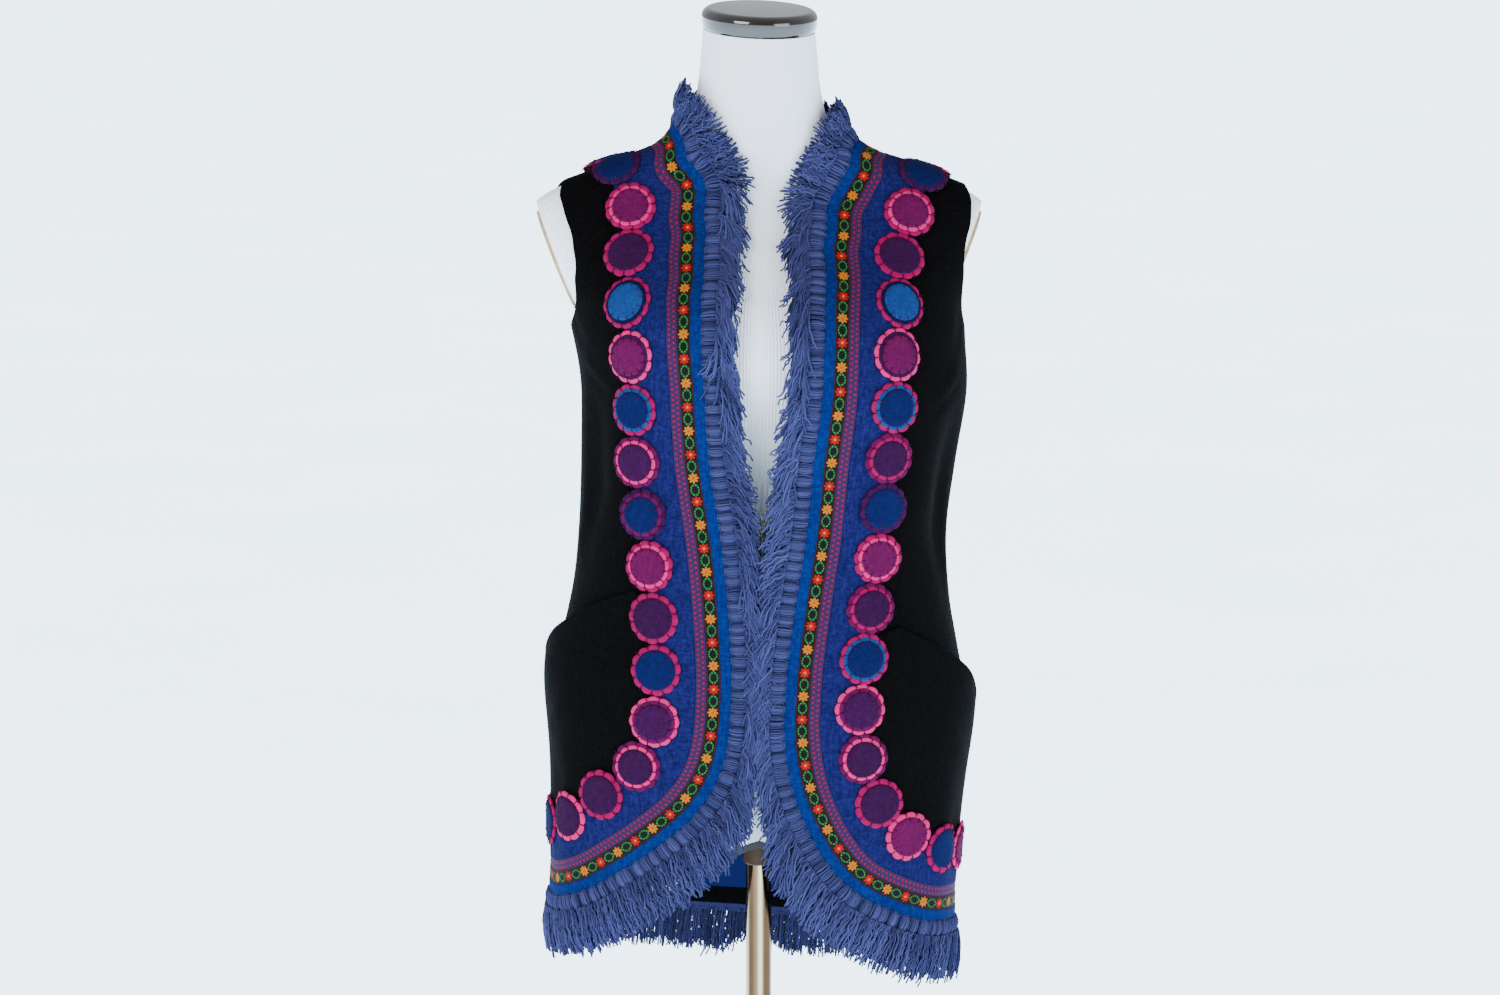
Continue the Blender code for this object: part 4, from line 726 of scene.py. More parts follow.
BACK_ARMHOLE = {
    "right": [Turned(0, 1214), Turned(10, 1222), Turned(18, 1240), Turned(25, 1264),
              Turned(30, 1290), Turned(31, 1312), Turned(28, 1329), Turned(21, 1342),
              Turned(11, 1351), Turned(0, 1355)],
    "left": [Turned(0, 1214), Turned(10, 1222), Turned(18, 1240), Turned(25, 1264),
             Turned(30, 1290), Turned(31, 1312), Turned(28, 1327), Turned(22, 1338),
             Turned(12, 1346), Turned(0, 1350)],
}
EDGE_LANE = 25.5
SEAM_BLEND = 60.0
NET_STEP = 4.0


def turned(points):
    """Turn in radians and level of a table of turns and ring heights."""
    table = np.array(points, float)
    return np.radians(table[:, 0]), VEST.level(table[:, 1])


def measured(turn, level):
    """Distance in millimetres along a line on the vest's surface."""
    places = VEST.point(turn, level)
    return np.concatenate([[0], np.cumsum(np.linalg.norm(np.diff(places, axis=0), axis=1))]) / MM


def smooth_line(turn, level, count=400):
    """Even points along a smooth line through the given ones."""
    knots = measured(turn, level)
    values = np.stack([turn, level], -1)
    slopes = np.gradient(values, knots, axis=0)
    at = np.linspace(0, knots[-1], count)
    i = np.clip(np.searchsorted(knots, at) - 1, 0, len(knots) - 2)
    width = (knots[i + 1] - knots[i])[:, None]
    f = ((at - knots[i])[:, None]) / width
    f2, f3 = f * f, f * f * f
    line = ((2 * f3 - 3 * f2 + 1) * values[i] + (f3 - 2 * f2 + f) * width * slopes[i]
            + (3 * f2 - 2 * f3) * values[i + 1] + (f3 - f2) * width * slopes[i + 1])
    return line[:, 0], line[:, 1]


def front_line(spots, shoulder, side):
    """The ribbon's middle line of one front, from its shoulder seam to its side seam."""
    start = math.radians(math.copysign(40, shoulder.turn))
    turn, level = VEST.seen_from_front(spots, start)
    ends_turn, ends_level = turned([shoulder, side])
    return smooth_line(np.concatenate([ends_turn[:1], turn, ends_turn[1:]]),
                       np.concatenate([ends_level[:1], level, ends_level[1:]]))


class Edge:
    """One stretch of the vest's trimmed edge, with a fine net of places over the surface: along
    its ribbon's middle line, and across it, positive towards the edge."""
    def __init__(self, name, turn, level):
        self.name = name
        self.turn, self.level = turn, level
        self.line = measured(turn, level)
        self.length = self.line[-1]
        self.into = np.sign(turn[len(turn) // 2] - turn[[0, -1]])
        count = round(self.length / NET_STEP)
        self.along = np.linspace(0, self.length, count + 1)
        self.across = np.arange(-88.0, 90.0, NET_STEP)
        start_turn, start_level, start_way = self.start()
        rows = {0.0: (start_turn, start_level)}
        for step in (NET_STEP, -NET_STEP):
            turn, level = start_turn, start_level
            way = start_way * np.sign(step)
            here = VEST.point(turn, level)
            reach = step
            while self.across[0] <= reach <= self.across[-1]:
                normal = VEST.normal(turn, level)
                way = unit(way - normal * np.sum(way * normal, -1, keepdims=True))
                turn, level = VEST.nearest(here + way * NET_STEP * MM, turn, level, 4)
                there = VEST.point(turn, level)
                way = unit(there - here)
                here = there
                rows[reach] = (turn, level)
                reach += step
        self.net = np.array([rows[across] for across in self.across])

    def start(self):
        """Turn, level and edgeward way along the middle line, turned to lie along each seam."""
        distance = self.along
        turn = np.interp(distance, self.line, self.turn)
        level = np.interp(distance, self.line, self.level)
        here, there = (VEST.point(np.interp(at, self.line, self.turn), np.interp(at, self.line, self.level))
                       for at in (np.maximum(distance - NET_STEP, 0),
                                  np.minimum(distance + NET_STEP, self.length)))
        way = unit(np.cross(VEST.normal(turn, level), unit(there - here)))
        for end in (0, -1):
            near = smooth_step(1 - np.abs(distance - self.line[end]) / SEAM_BLEND)[..., None]
            seam_way = unit(VEST.point(self.turn[end], self.level[end] + 0.05)
                            - VEST.point(self.turn[end], self.level[end] - 0.05))
            seam_way = seam_way * np.sign(np.sum(way * seam_way, -1, keepdims=True))
            way = unit(way * (1 - near) + seam_way * near)
        return turn, level, way

    def at(self, along, across):
        """Turn and level at distances along and across in millimetres."""
        along, across = np.broadcast_arrays(np.asarray(along, float), np.asarray(across, float))
        i = np.clip(along / self.along[1], 0, len(self.along) - 1.0001)
        j = np.clip((across - self.across[0]) / NET_STEP, 0, len(self.across) - 1.0001)
        i0, j0 = i.astype(int), j.astype(int)
        fi, fj = i - i0, j - j0
        found = sum(self.net[j0 + b, :, i0 + a].T * (fi if a else 1 - fi) * (fj if b else 1 - fj)
                    for a in (0, 1) for b in (0, 1))
        return found[0], found[1]

    def lane(self, along, across):
        """The same for a line whose first and last points lie beside the seams."""
        turn, level = self.at(along, across)
        for end, into in ((0, self.into[0]), (-1, self.into[1])):
            turn[end] = self.turn[end] + into * seam_inset(level[end])
        return turn, level


def seam_inset(level):
    """Half the seam gap as a turn, at a shoulder or side seam."""
    row = VEST.row(level)
    return SEAM_GAP / 2 * MM / ((row[..., 2] + row[..., 3]) / 2)


left_line = front_line(LEFT_FRONT_RIBBON, SHOULDER_POINT["left"], SIDE_POINT["left"])
hem_side = Turned(-270, SIDE_POINT["left"].height)
neck_side = Turned(270, SHOULDER_POINT["right"].height)
EDGES = {
    "right_front": Edge("right_front", *front_line(RIGHT_FRONT_RIBBON, SHOULDER_POINT["right"],
                                                   SIDE_POINT["right"])),
    "back_hem": Edge("back_hem", *smooth_line(*turned([SIDE_POINT["right"], *BACK_HEM_RIBBON, hem_side]))),
    "left_front": Edge("left_front", left_line[0][::-1], left_line[1][::-1]),
    "back_neck": Edge("back_neck", *smooth_line(*turned([SHOULDER_POINT["left"], *BACK_NECK_RIBBON,
                                                          neck_side]))),
}


def lifted(turn, level, height):
    """Points of the vest's surface moved out by millimetres, one value or one for each."""
    height = np.broadcast_to(np.asarray(height, float), np.shape(turn))
    return VEST.point(turn, level) + VEST.normal(turn, level) * (height * MM)[..., None]


def cloth(name, turn, level, faces, low, high, look, run=None, across=None):
    """A wall of cloth between two heights over the same points, and its area in square metres. run
    and across, in metres, become its UV map."""
    count = len(turn)
    outside_points = lifted(turn, level, high)
    points = np.concatenate([lifted(turn, level, low), outside_points])
    rim = {}
    for face in faces:
        for a, b in zip(face, face[1:] + face[:1]):
            if rim.pop((b, a), None) is None:
                rim[(a, b)] = True
    solid = [face[::-1] for face in faces]
    solid += [tuple(corner + count for corner in face) for face in faces]
    solid += [(a, b, b + count, a + count) for a, b in rim]
    mesh = mesh_from(name, points, solid)
    if run is not None:
        layer = mesh.uv_layers.new(name="UVMap")
        places = np.tile(np.stack([run, across], -1), (2, 1))
        corners = np.zeros(len(mesh.loops), int)
        mesh.loops.foreach_get("vertex_index", corners)
        layer.data.foreach_set("uv", places[corners].ravel())
    area = 0.0
    for face in faces:
        a = outside_points[face[0]]
        for b, c in zip(face[1:], face[2:]):
            area += np.linalg.norm(np.cross(outside_points[b] - a, outside_points[c] - a)) / 2
    return link(name, mesh, [look]), area


def inside(places, outline):
    """Which places lie inside a closed outline, by counting crossings."""
    x, y = places[:, 0][:, None], places[:, 1][:, None]
    x1, y1 = outline[:, 0][None], outline[:, 1][None]
    x2, y2 = np.roll(outline, -1, 0)[:, 0][None], np.roll(outline, -1, 0)[:, 1][None]
    crosses = (y1 > y) != (y2 > y)
    where = (x2 - x1) * (y - y1) / np.where(y2 == y1, 1e-9, y2 - y1) + x1
    return np.sum(crosses & (x < where), axis=1) % 2 == 1


def filled(outline, spacing=FELT_GRID):
    """Turns, levels and triangles of a fine net inside an outline."""
    border = VEST.flat(*outline)
    first, last = border.min(0), border.max(0)
    rows = np.arange(first[1] + spacing / 2, last[1], spacing)
    grid = np.array([(x + (k % 2) * spacing / 2, y) for k, y in enumerate(rows)
                     for x in np.arange(first[0], last[0], spacing)])
    grid = grid[inside(grid, border)]
    clear = np.array([np.min(np.hypot(*(border - place).T)) for place in grid]) > spacing * 0.55
    places = np.concatenate([border, grid[clear]])
    out = geometry.delaunay_2d_cdt([Vector(place) for place in places], [],
                                   [list(range(len(border)))], 1, 1e-4)
    found = np.array([tuple(place) for place in out[0]])
    faces = []
    for face in out[2]:
        a, b, c = (found[i] for i in face)
        up = (b[0] - a[0]) * (c[1] - a[1]) - (b[1] - a[1]) * (c[0] - a[0])
        faces.append(tuple(face) if up > 0 else tuple(face)[::-1])
    return *VEST.unflat(found), faces


def even(turn, level, spacing):
    """A line's points again, evenly spaced, ends kept."""
    run = measured(turn, level)
    at = np.linspace(0, run[-1], max(2, math.ceil(run[-1] / spacing) + 1))
    return np.interp(at, run, turn), np.interp(at, run, level)


def seam(turn, low, high, into):
    """A seam at one turn, inset by half the seam gap, from a low level up to a high one."""
    level = np.linspace(low, high, 60)
    return even(turn + into * seam_inset(level), level, FELT_GRID)


def armhole(table, seam_turn, into):
    """The armhole's line from under the arm to the shoulder tip."""
    offset, level = smooth_line(*turned(table))
    turn, level = even(seam_turn + into * offset, level, 4.0)
    turn[0] += into * seam_inset(level[0])
    turn[-1] += into * seam_inset(level[-1])
    return turn, level


def join_lines(*lines):
    """One closed outline from lines that meet end to end."""
    return (np.concatenate([line[0][:-1] for line in lines]),
            np.concatenate([line[1][:-1] for line in lines]))


def backward(line):
    return line[0][::-1], line[1][::-1]


def whole_lane(edge, across, spacing=4.0):
    return edge.lane(np.linspace(0, edge.length, math.ceil(edge.length / spacing) + 1), across)


def felt_look(name, colour, pale, fibre=0.5, sheen=0.04, shine=0.2):
    """Felted wool: a matt ground mottled with paler fibres that lie every way."""
    look = Look(name, colour, 0.95, Sheen_Weight=sheen, Specular_IOR_Level=shine)
    mottle = look.noise(55.0, detail=4.0, rough=0.65)
    fibres = look.noise(420.0, stretch=(1.0, 1.0, 0.25), detail=3.0, rough=0.7)
    crossing = look.noise(420.0, stretch=(0.3, 1.0, 1.0), detail=3.0, rough=0.7)
    hairs = fibres * 0.5 + crossing * 0.5
    ground_colour = look.mix(mottle, tuple(0.72 * c for c in colour), tuple(1.25 * c for c in colour))
    look.set("Base Color", look.mix(hairs.under(0.45, 0.25) * fibre, ground_colour, pale))
    look.bump(mottle, 0.0009)
    look.bump(hairs, 0.0007)
    return look


black_felt = felt_look("black_felt", (0.0007, 0.0006, 0.0008), (0.0034, 0.0029, 0.0028), 0.6, 0.0, 0.04)


def cut_size(turn, level):
    """Width and length in metres of a flat cut: its widest girth and its longest upright run."""
    sizes = []
    for held, free in ((level, turn), (turn, level)):
        longest = 0.0
        step = (held.max() - held.min()) / 40
        for middle in np.arange(held.min() + step / 2, held.max(), step):
            near = free[np.abs(held - middle) <= step]
            if len(near) > 1:
                line = np.linspace(near.min(), near.max(), 60), np.full(60, middle)
                longest = max(longest, measured(*(line if held is level else line[::-1]))[-1])
        sizes.append(longest * MM)
    return tuple(sizes)


def front_panel(name, edge, seam_turn):
    """One front, cut in one piece from shoulder to hem."""
    lane = whole_lane(edge, EDGE_LANE)
    if seam_turn > 0:
        lane = backward(lane)
    into = -math.copysign(1.0, seam_turn)
    hole = armhole(FRONT_ARMHOLE["left" if seam_turn > 0 else "right"], seam_turn, into)
    side = seam(seam_turn, lane[1][-1], hole[1][0], into)
    shoulder = seam(seam_turn, hole[1][-1], lane[1][0], into)
    turn, level, faces = filled(join_lines(lane, side, hole, shoulder))
    return *cloth(name, turn, level, faces, -FELT / 2, FELT / 2, black_felt), cut_size(turn, level)


def back_panel(name):
    """The back, cut in one piece between the side seams, the shoulders and the neck."""
    hem_lane = whole_lane(EDGES["back_hem"], EDGE_LANE)
    neck_lane = whole_lane(EDGES["back_neck"], EDGE_LANE)
    neck_lane = (neck_lane[0] - 2 * math.pi, neck_lane[1])
    left, right = math.radians(-270), math.radians(-90)
    left_hole = armhole(BACK_ARMHOLE["left"], left, 1.0)
    right_hole = armhole(BACK_ARMHOLE["right"], right, -1.0)
    outline = join_lines(
        hem_lane,
        seam(left, hem_lane[1][-1], left_hole[1][0], 1.0),
        left_hole,
        seam(left, left_hole[1][-1], neck_lane[1][0], 1.0),
        neck_lane,
        backward(seam(right, right_hole[1][-1], neck_lane[1][-1], -1.0)),
        backward(right_hole),
        backward(seam(right, hem_lane[1][0], right_hole[1][0], -1.0)),
    )
    turn, level, faces = filled(outline)
    return *cloth(name, turn, level, faces, -FELT / 2, FELT / 2, black_felt), cut_size(turn, level)


right_front, right_area, right_cut = front_panel("right_front_felt", EDGES["right_front"],
                                                 math.radians(-90))
left_front, left_area, left_cut = front_panel("left_front_felt", EDGES["left_front"], math.radians(90))
back, back_area, back_cut = back_panel("back_felt")
finish_piece(right_front, "black_felt", "right_front")
finish_piece(left_front, "black_felt", "left_front")
finish_piece(back, "black_felt", "back")


# Two patch pockets of the same felt, sewn down along the hem band and the side seam.
# Their open mouths slant down to the side and stand off at the outer corner.
BAND = 1.5
ON_PANEL = FELT / 2 + LAYER_LIFT
RIGHT_POCKET_MOUTH = [Turned(-40, 973), Turned(-56, 950), Turned(-72, 920), Turned(-90, 884)]
LEFT_POCKET_MOUTH = [Turned(42, 952), Turned(58, 930), Turned(74, 904), Turned(90, 872)]
POCKET_GAPE = 8.5
POCKET_GAPE_DEPTH = 75.0
POCKET_EDGE = -58.6


def pocket(name, edge, mouth, seam_turn, node):
    """A patch between its slanting mouth, the side seam and the hem band."""
    into = -math.copysign(1.0, seam_turn)
    mouth_turn, mouth_level = smooth_line(*turned(mouth))
    low = whole_lane(edge, POCKET_EDGE)
    if seam_turn > 0:
        low = backward(low)
    start = int(np.argmax(low[1] < mouth_level[0] - 0.12))
    low = (low[0][start:], low[1][start:])
    top = even(mouth_turn, mouth_level, 5.0)
    top[0][-1] = seam_turn + into * seam_inset(top[1][-1])
    side = seam(seam_turn, low[1][-1], top[1][-1], into)
    first = (np.array([top[0][0], low[0][0]]), np.array([top[1][0], low[1][0]]))
    turn, level, faces = filled(join_lines(low, side, backward(top), first))
    order = np.argsort(mouth_turn)
    mouth_height = np.interp(turn, mouth_turn[order], VEST.row(mouth_level[order])[:, 0])
    drop = (mouth_height - VEST.row(level)[..., 0]) / MM
    outer = smooth_step((np.abs(turn) - math.radians(44)) / math.radians(34))
    gape = POCKET_GAPE * outer * np.exp(-(np.maximum(drop, 0) / POCKET_GAPE_DEPTH) ** 2)
    rolled = 1.2 * outer * np.exp(-np.maximum(drop, 0) / 6.0)
    lift = ON_PANEL + gape + rolled
    made, area = cloth(name, turn, level, faces, lift, lift + BAND, black_felt)
    finish_piece(made, "black_felt", node)
    cut_size(turn, level)


pocket("right_pocket_felt", EDGES["right_front"], RIGHT_POCKET_MOUTH, math.radians(-90),
       "right_pocket")
pocket("left_pocket_felt", EDGES["left_front"], LEFT_POCKET_MOUTH, math.radians(90),
       "left_pocket")


# The blue band: a strip of brushed blue felt along the whole edge, slightly puckered by its stitching.
# It is cut in four stretches that meet at the seams; the discs hide its outer side.
BAND_OUTER, BAND_INNER = -58.0, -17.2
trims = {name: [] for name in EDGES}


def strip(kind, edge, first, last, thick, look, slot, lanes=4, lift=None, node=""):
    """A strip along one stretch of the edge."""
    along = np.linspace(0, edge.length, math.ceil(edge.length / 3.0) + 1)
    offsets = np.linspace(first, last, lanes + 1)
    rows = [edge.lane(along, across) for across in offsets]
    turn = np.concatenate([row[0] for row in rows])
    level = np.concatenate([row[1] for row in rows])
    run = np.tile(along, lanes + 1)
    across = np.repeat(offsets, len(along))
    count = len(along)
    faces = [(a, a + 1, a + 1 + count, a + count) for row in range(lanes)
             for a in range(row * count, (row + 1) * count - 1)]
    low = ON_PANEL + (lift(run, across) if lift else 0.0)
    made, area = cloth(f"{kind}_{edge.name}_cloth", turn, level, faces, low, low + thick, look,
                       run * MM, across * MM)
    finish_piece(made, slot, node or f"{kind}_{edge.name}")
    width, length = (last - first) * MM, edge.length * MM
    if area > width * length:
        length = area / width * 1.001
    trims[edge.name].append(made)
    return made


def pucker(run, across):
    """Small uneven puckers across the band, strongest in its middle."""
    middle = np.exp(-((across + 36.0) / 17.0) ** 2)
    wave = (np.sin(run / 5.3 + across / 9.0) + np.sin(run / 8.9 - across / 6.0 + 1.0)
            + 0.7 * np.sin(run / 3.1 + across / 4.0 + 2.0))
    return 0.22 * middle * (wave + 2.7)


band_look = felt_look("brushed_blue_felt", (0.0026, 0.0034, 0.038), (0.012, 0.013, 0.095), 0.9, 0.0, 0.06)
crush = band_look.noise(95.0, "UV", (0.55, 1.0, 1.0), 4.0, 0.6)
band_look.bump(crush, 0.0026)
for edge in EDGES.values():
    strip("blue_band", edge, BAND_OUTER, BAND_INNER, BAND, band_look, "blue_felt", lanes=12, lift=pucker)


# The violet ribbon beside the band: a narrow woven ribbon with two staggered rows of red crosses and
# fine zigzag lines, stitched down along both sides.
VIOLET_OUTER, VIOLET_INNER = -16.8, -6.6
CROSS_PITCH = 5.0
IN_MILLIMETRES = (1000.0, 1000.0, 1.0)
violet_look = Look("violet_ribbon", (0.14, 0.03, 0.25), 0.8, Specular_IOR_Level=0.15)
spot, across = violet_look.sides(violet_look.place("UV", IN_MILLIMETRES))
across = across - (VIOLET_OUTER + VIOLET_INNER) / 2
weave = (spot * 5.2).math("SINE") * (across * 5.2).math("SINE") * 0.5 + 0.5
zigzag = abs((spot / CROSS_PITCH) % 1.0 - 0.5) * 4.0
lines = violet_look.node("Math", {"operation": "MINIMUM"}, {
    0: abs(abs(across) - zigzag * 0.9 - 0.3), 1: abs(abs(across) - 4.3)})
cross_mask = None
for row, shift in ((-2.3, 0.0), (2.3, CROSS_PITCH / 2), (0.0, CROSS_PITCH / 4)):
    along = abs(((spot + shift) / CROSS_PITCH) % 1.0 - 0.5) * CROSS_PITCH
    aside = abs(across - row)
    blob = (along * along + aside * aside).math("SQRT").under(1.15 if row else 0.3, 0.4)
    cross_mask = blob if cross_mask is None else cross_mask.math("MAXIMUM", blob)
violet = violet_look.mix(weave, (0.012, 0.0022, 0.026), (0.028, 0.0050, 0.052))
violet = violet_look.mix(lines.under(0.26, 0.2), violet, (0.014, 0.010, 0.060))
violet_look.set("Base Color", violet_look.mix(cross_mask, violet, (0.20, 0.0010, 0.014)))
violet_look.bump(cross_mask, 0.0005)
violet_look.bump(weave, 0.0002)
for edge in EDGES.values():
    strip("violet_ribbon", edge, VIOLET_OUTER, VIOLET_INNER, 1.2, violet_look, "violet_ribbon", lanes=3)


# The jacquard ribbon: yellow and red eight-petal flowers with green ovals between, woven on black,
# with a dark red selvedge on both sides.
FLOWER_HALF = 6.2
MOTIF = 11.1
flower_look = Look("flower_ribbon", (0.02, 0.02, 0.02), 0.8, Specular_IOR_Level=0.12)
spot, across = flower_look.sides(flower_look.place("UV", IN_MILLIMETRES))
step = spot / MOTIF
count = step.math("FLOOR")
along = (step % 1.0 - 0.5) * MOTIF
is_oval = count % 2.0
is_red = (count * 0.5).math("FLOOR") % 2.0
reach = (along * along + across * across).math("SQRT")
angle = along.math("ARCTAN2", across)
petal = reach.under(abs((angle * 4.0).math("COSINE")) * 2.2 + 3.0, 0.4)
eye = reach.under(1.3, 0.3)
flower = flower_look.mix(is_red, (0.40, 0.115, 0.0008), (0.30, 0.0022, 0.0008))
eye_colour = flower_look.mix(is_red, (0.30, 0.055, 0.004), (0.50, 0.12, 0.010))
oval_reach = (along * along * (1 / 31.0) + across * across * (1 / 17.5)).math("SQRT")
dashes = (abs((angle * 5.0).math("COSINE")) * -1.0).under(-0.42, 0.3)
oval = abs(oval_reach - 0.88).under(0.16, 0.08) * dashes
woven = flower_look.mix(petal, (0.0010, 0.0010, 0.0011), flower)
woven = flower_look.mix(petal * eye, woven, eye_colour)
leaf = flower_look.mix(oval, (0.0010, 0.0013, 0.0011), (0.012, 0.155, 0.028))
picture = flower_look.mix(is_oval, woven, leaf)
selvedge = (abs(across) * -1.0).under(-5.35, 0.3)
threads = (spot * 9.0).math("SINE") * 0.5 + 0.5
edging = flower_look.mix(threads, (0.020, 0.002, 0.002), (0.070, 0.007, 0.004))
picture = flower_look.mix(selvedge, picture, edging)
flower_look.set("Base Color", flower_look.mix(threads * 0.22, picture, (0.01, 0.01, 0.01)))
raised = (petal * (is_oval * -1.0 + 1.0)).math("MAXIMUM", oval * is_oval)
flower_look.bump(raised, 0.0005)
flower_look.bump(threads, 0.0002)
for edge in EDGES.values():
    strip("flower_ribbon", edge, -FLOWER_HALF, FLOWER_HALF, 1.6, flower_look, "flower_ribbon")


# The bright strip: a narrow tape of royal blue felt, brighter than the band. It is sewn flat between
# the jacquard ribbon and the heading.
BRIGHT_INNER, BRIGHT_OUTER = 6.6, 16.7
bright_look = felt_look("bright_blue_felt", (0.0004, 0.0065, 0.062), (0.002, 0.022, 0.14), 0.9, 0.0, 0.06)
for edge in EDGES.values():
    strip("bright_strip", edge, BRIGHT_INNER, BRIGHT_OUTER, 2.0, bright_look, "bright_blue", lanes=3)


# The row of discs: two or three felt circles on each other, the widest scalloped by its blanket
# stitches, sewn one by one so that they touch. Their colours change from disc to disc.
DISC_PITCH = 49.0
DISC_ROW = -54.0
DISC_LIFT = ON_PANEL + BAND + 1.5
OUTER_RADIUS, RING_RADIUS, INNER_RADIUS, PLAIN_INNER_RADIUS = 24.2, 20.4, 17.0, 19.0
OUTER_THICK, RING_THICK, INNER_THICK = 1.7, 1.0, 1.3
DISC_SIDES = 72
NOTCHES = 12
FELTS = {
    "hot": ((0.175, 0.0006, 0.040), (0.25, 0.0040, 0.078)),
    "light": ((0.40, 0.0090, 0.090), (0.50, 0.028, 0.15)),
    "magenta": ((0.060, 0.0006, 0.030), (0.105, 0.0030, 0.058)),
    "purple": ((0.015, 0.0007, 0.019), (0.032, 0.0028, 0.040)),
    "plum": ((0.019, 0.0007, 0.023), (0.040, 0.0035, 0.048)),
    "blue": ((0.0008, 0.0032, 0.036), (0.0035, 0.0095, 0.070)),
    "sky": ((0.0025, 0.023, 0.105), (0.010, 0.052, 0.17)),
    "navy": ((0.0008, 0.0018, 0.017), (0.0035, 0.0060, 0.038)),
}
Disc = namedtuple("Disc", "outer ring inner")
DISC_COLOURS = {
    "right_front": [
        Disc("plum", "", "blue"), Disc("hot", "light", "magenta"), Disc("hot", "", "purple"),
        Disc("hot", "navy", "sky"), Disc("light", "plum", "magenta"), Disc("hot", "sky", "blue"),
        Disc("magenta", "light", "plum"), Disc("plum", "magenta", "blue"), Disc("hot", "light", "magenta"),
        Disc("hot", "", "purple"), Disc("hot", "", "blue"), Disc("light", "magenta", "plum"),
        Disc("magenta", "light", "purple"), Disc("hot", "", "purple"), Disc("light", "", "purple"),
        Disc("hot", "", "blue")],
    "left_front": [
        Disc("light", "", "magenta"), Disc("hot", "", "blue"), Disc("light", "", "magenta"),
        Disc("hot", "", "purple"), Disc("magenta", "light", "purple"), Disc("light", "magenta", "plum"),
        Disc("hot", "sky", "blue"), Disc("magenta", "hot", "purple"), Disc("hot", "light", "magenta"),
        Disc("plum", "", "blue"), Disc("magenta", "hot", "purple"), Disc("hot", "sky", "blue"),
        Disc("light", "purple", "magenta"), Disc("hot", "navy", "sky"), Disc("hot", "", "purple"),
        Disc("hot", "light", "magenta"), Disc("plum", "", "blue")],
}
BACK_COLOURS = [Disc("hot", "", "purple"), Disc("light", "magenta", "plum"), Disc("hot", "sky", "blue"),
                Disc("magenta", "light", "purple"), Disc("hot", "light", "magenta")]
felts = {name: felt_look(f"{name}_disc_felt", *colours, 0.6, 0.0, 0.08) for name, colours in FELTS.items()}
felt_order = list(felts)


def thread_tree(look, profile_sides):
    """A tree that gives each polyline of a mesh a round thread's body, a little uneven."""
    tree = bpy.data.node_groups.new(f"thread_{look.material.name}", "GeometryNodeTree")
    for name, kind in (("Geometry", "NodeSocketGeometry"), ("Thread Radius", "NodeSocketFloat"),
                       ("Kink", "NodeSocketFloat")):
        tree.interface.new_socket(name, in_out="INPUT", socket_type=kind)
    tree.interface.new_socket("Geometry", in_out="OUTPUT", socket_type="NodeSocketGeometry")
    start = tree.nodes.new("NodeGroupInput")
    end = tree.nodes.new("NodeGroupOutput")
    curves = tree.nodes.new("GeometryNodeMeshToCurve")
    noise = tree.nodes.new("ShaderNodeTexNoise")
    noise.inputs["Scale"].default_value = 260.0
    centred = tree.nodes.new("ShaderNodeVectorMath")
    centred.operation = "SUBTRACT"
    centred.inputs[1].default_value = (0.5, 0.5, 0.5)
    scaled = tree.nodes.new("ShaderNodeVectorMath")
    scaled.operation = "SCALE"
    moved = tree.nodes.new("GeometryNodeSetPosition")
    circle = tree.nodes.new("GeometryNodeCurvePrimitiveCircle")
    circle.inputs["Resolution"].default_value = profile_sides
    body = tree.nodes.new("GeometryNodeCurveToMesh")
    body.inputs["Fill Caps"].default_value = True
    smooth = tree.nodes.new("GeometryNodeSetShadeSmooth")
    real = tree.nodes.new("GeometryNodeRealizeInstances")
    paint = tree.nodes.new("GeometryNodeSetMaterial")
    paint.inputs["Material"].default_value = look.material
    join = tree.links.new
    join(start.outputs["Geometry"], curves.inputs["Mesh"])
    join(curves.outputs["Curve"], moved.inputs["Geometry"])
    join(noise.outputs["Color"], centred.inputs[0])
    join(centred.outputs[0], scaled.inputs[0])
    join(start.outputs["Kink"], scaled.inputs["Scale"])
    join(scaled.outputs[0], moved.inputs["Offset"])
    join(start.outputs["Thread Radius"], circle.inputs["Radius"])
    join(moved.outputs["Geometry"], body.inputs["Curve"])
    join(circle.outputs["Curve"], body.inputs["Profile Curve"])
    join(body.outputs["Mesh"], smooth.inputs["Geometry"])
    join(smooth.outputs["Geometry"], real.inputs["Geometry"])
    join(real.outputs["Geometry"], paint.inputs["Geometry"])
    join(paint.outputs["Geometry"], end.inputs["Geometry"])
    return tree


def threads_piece(name, paths, radius, kink, look, profile_sides=3, tones_and_shade=None):
    """Threads of radius and kink in metres along paths, an array of (thread, point, xyz)."""
    count, points = paths.shape[:2]
    first = np.arange(count)[:, None] * points + np.arange(points - 1)
    edges = np.stack([first, first + 1], -1).reshape(-1, 2)
    mesh = bpy.data.meshes.new(name)
    mesh.from_pydata(paths.reshape(-1, 3).tolist(), edges.tolist(), [])
    if tones_and_shade is not None:
        mesh.attributes.new("tone", "FLOAT", "POINT").data.foreach_set("value", tones_and_shade.ravel())
    rough = link(name + "_paths", mesh)
    change = rough.modifiers.new("thread", "NODES")
    change.node_group = thread_tree(look, profile_sides)
    sockets = {item.name: item.identifier for item in change.node_group.interface.items_tree
               if item.in_out == "INPUT"}
    change[sockets["Thread Radius"]] = radius
    change[sockets["Kink"]] = kink
    bpy.context.view_layer.update()
    made = bpy.data.meshes.new_from_object(rough.evaluated_get(bpy.context.evaluated_depsgraph_get()))
    bpy.data.objects.remove(rough)
    made.name = name
    piece = link(name, made)
    if not made.materials:
        made.materials.append(look.material)
    return piece


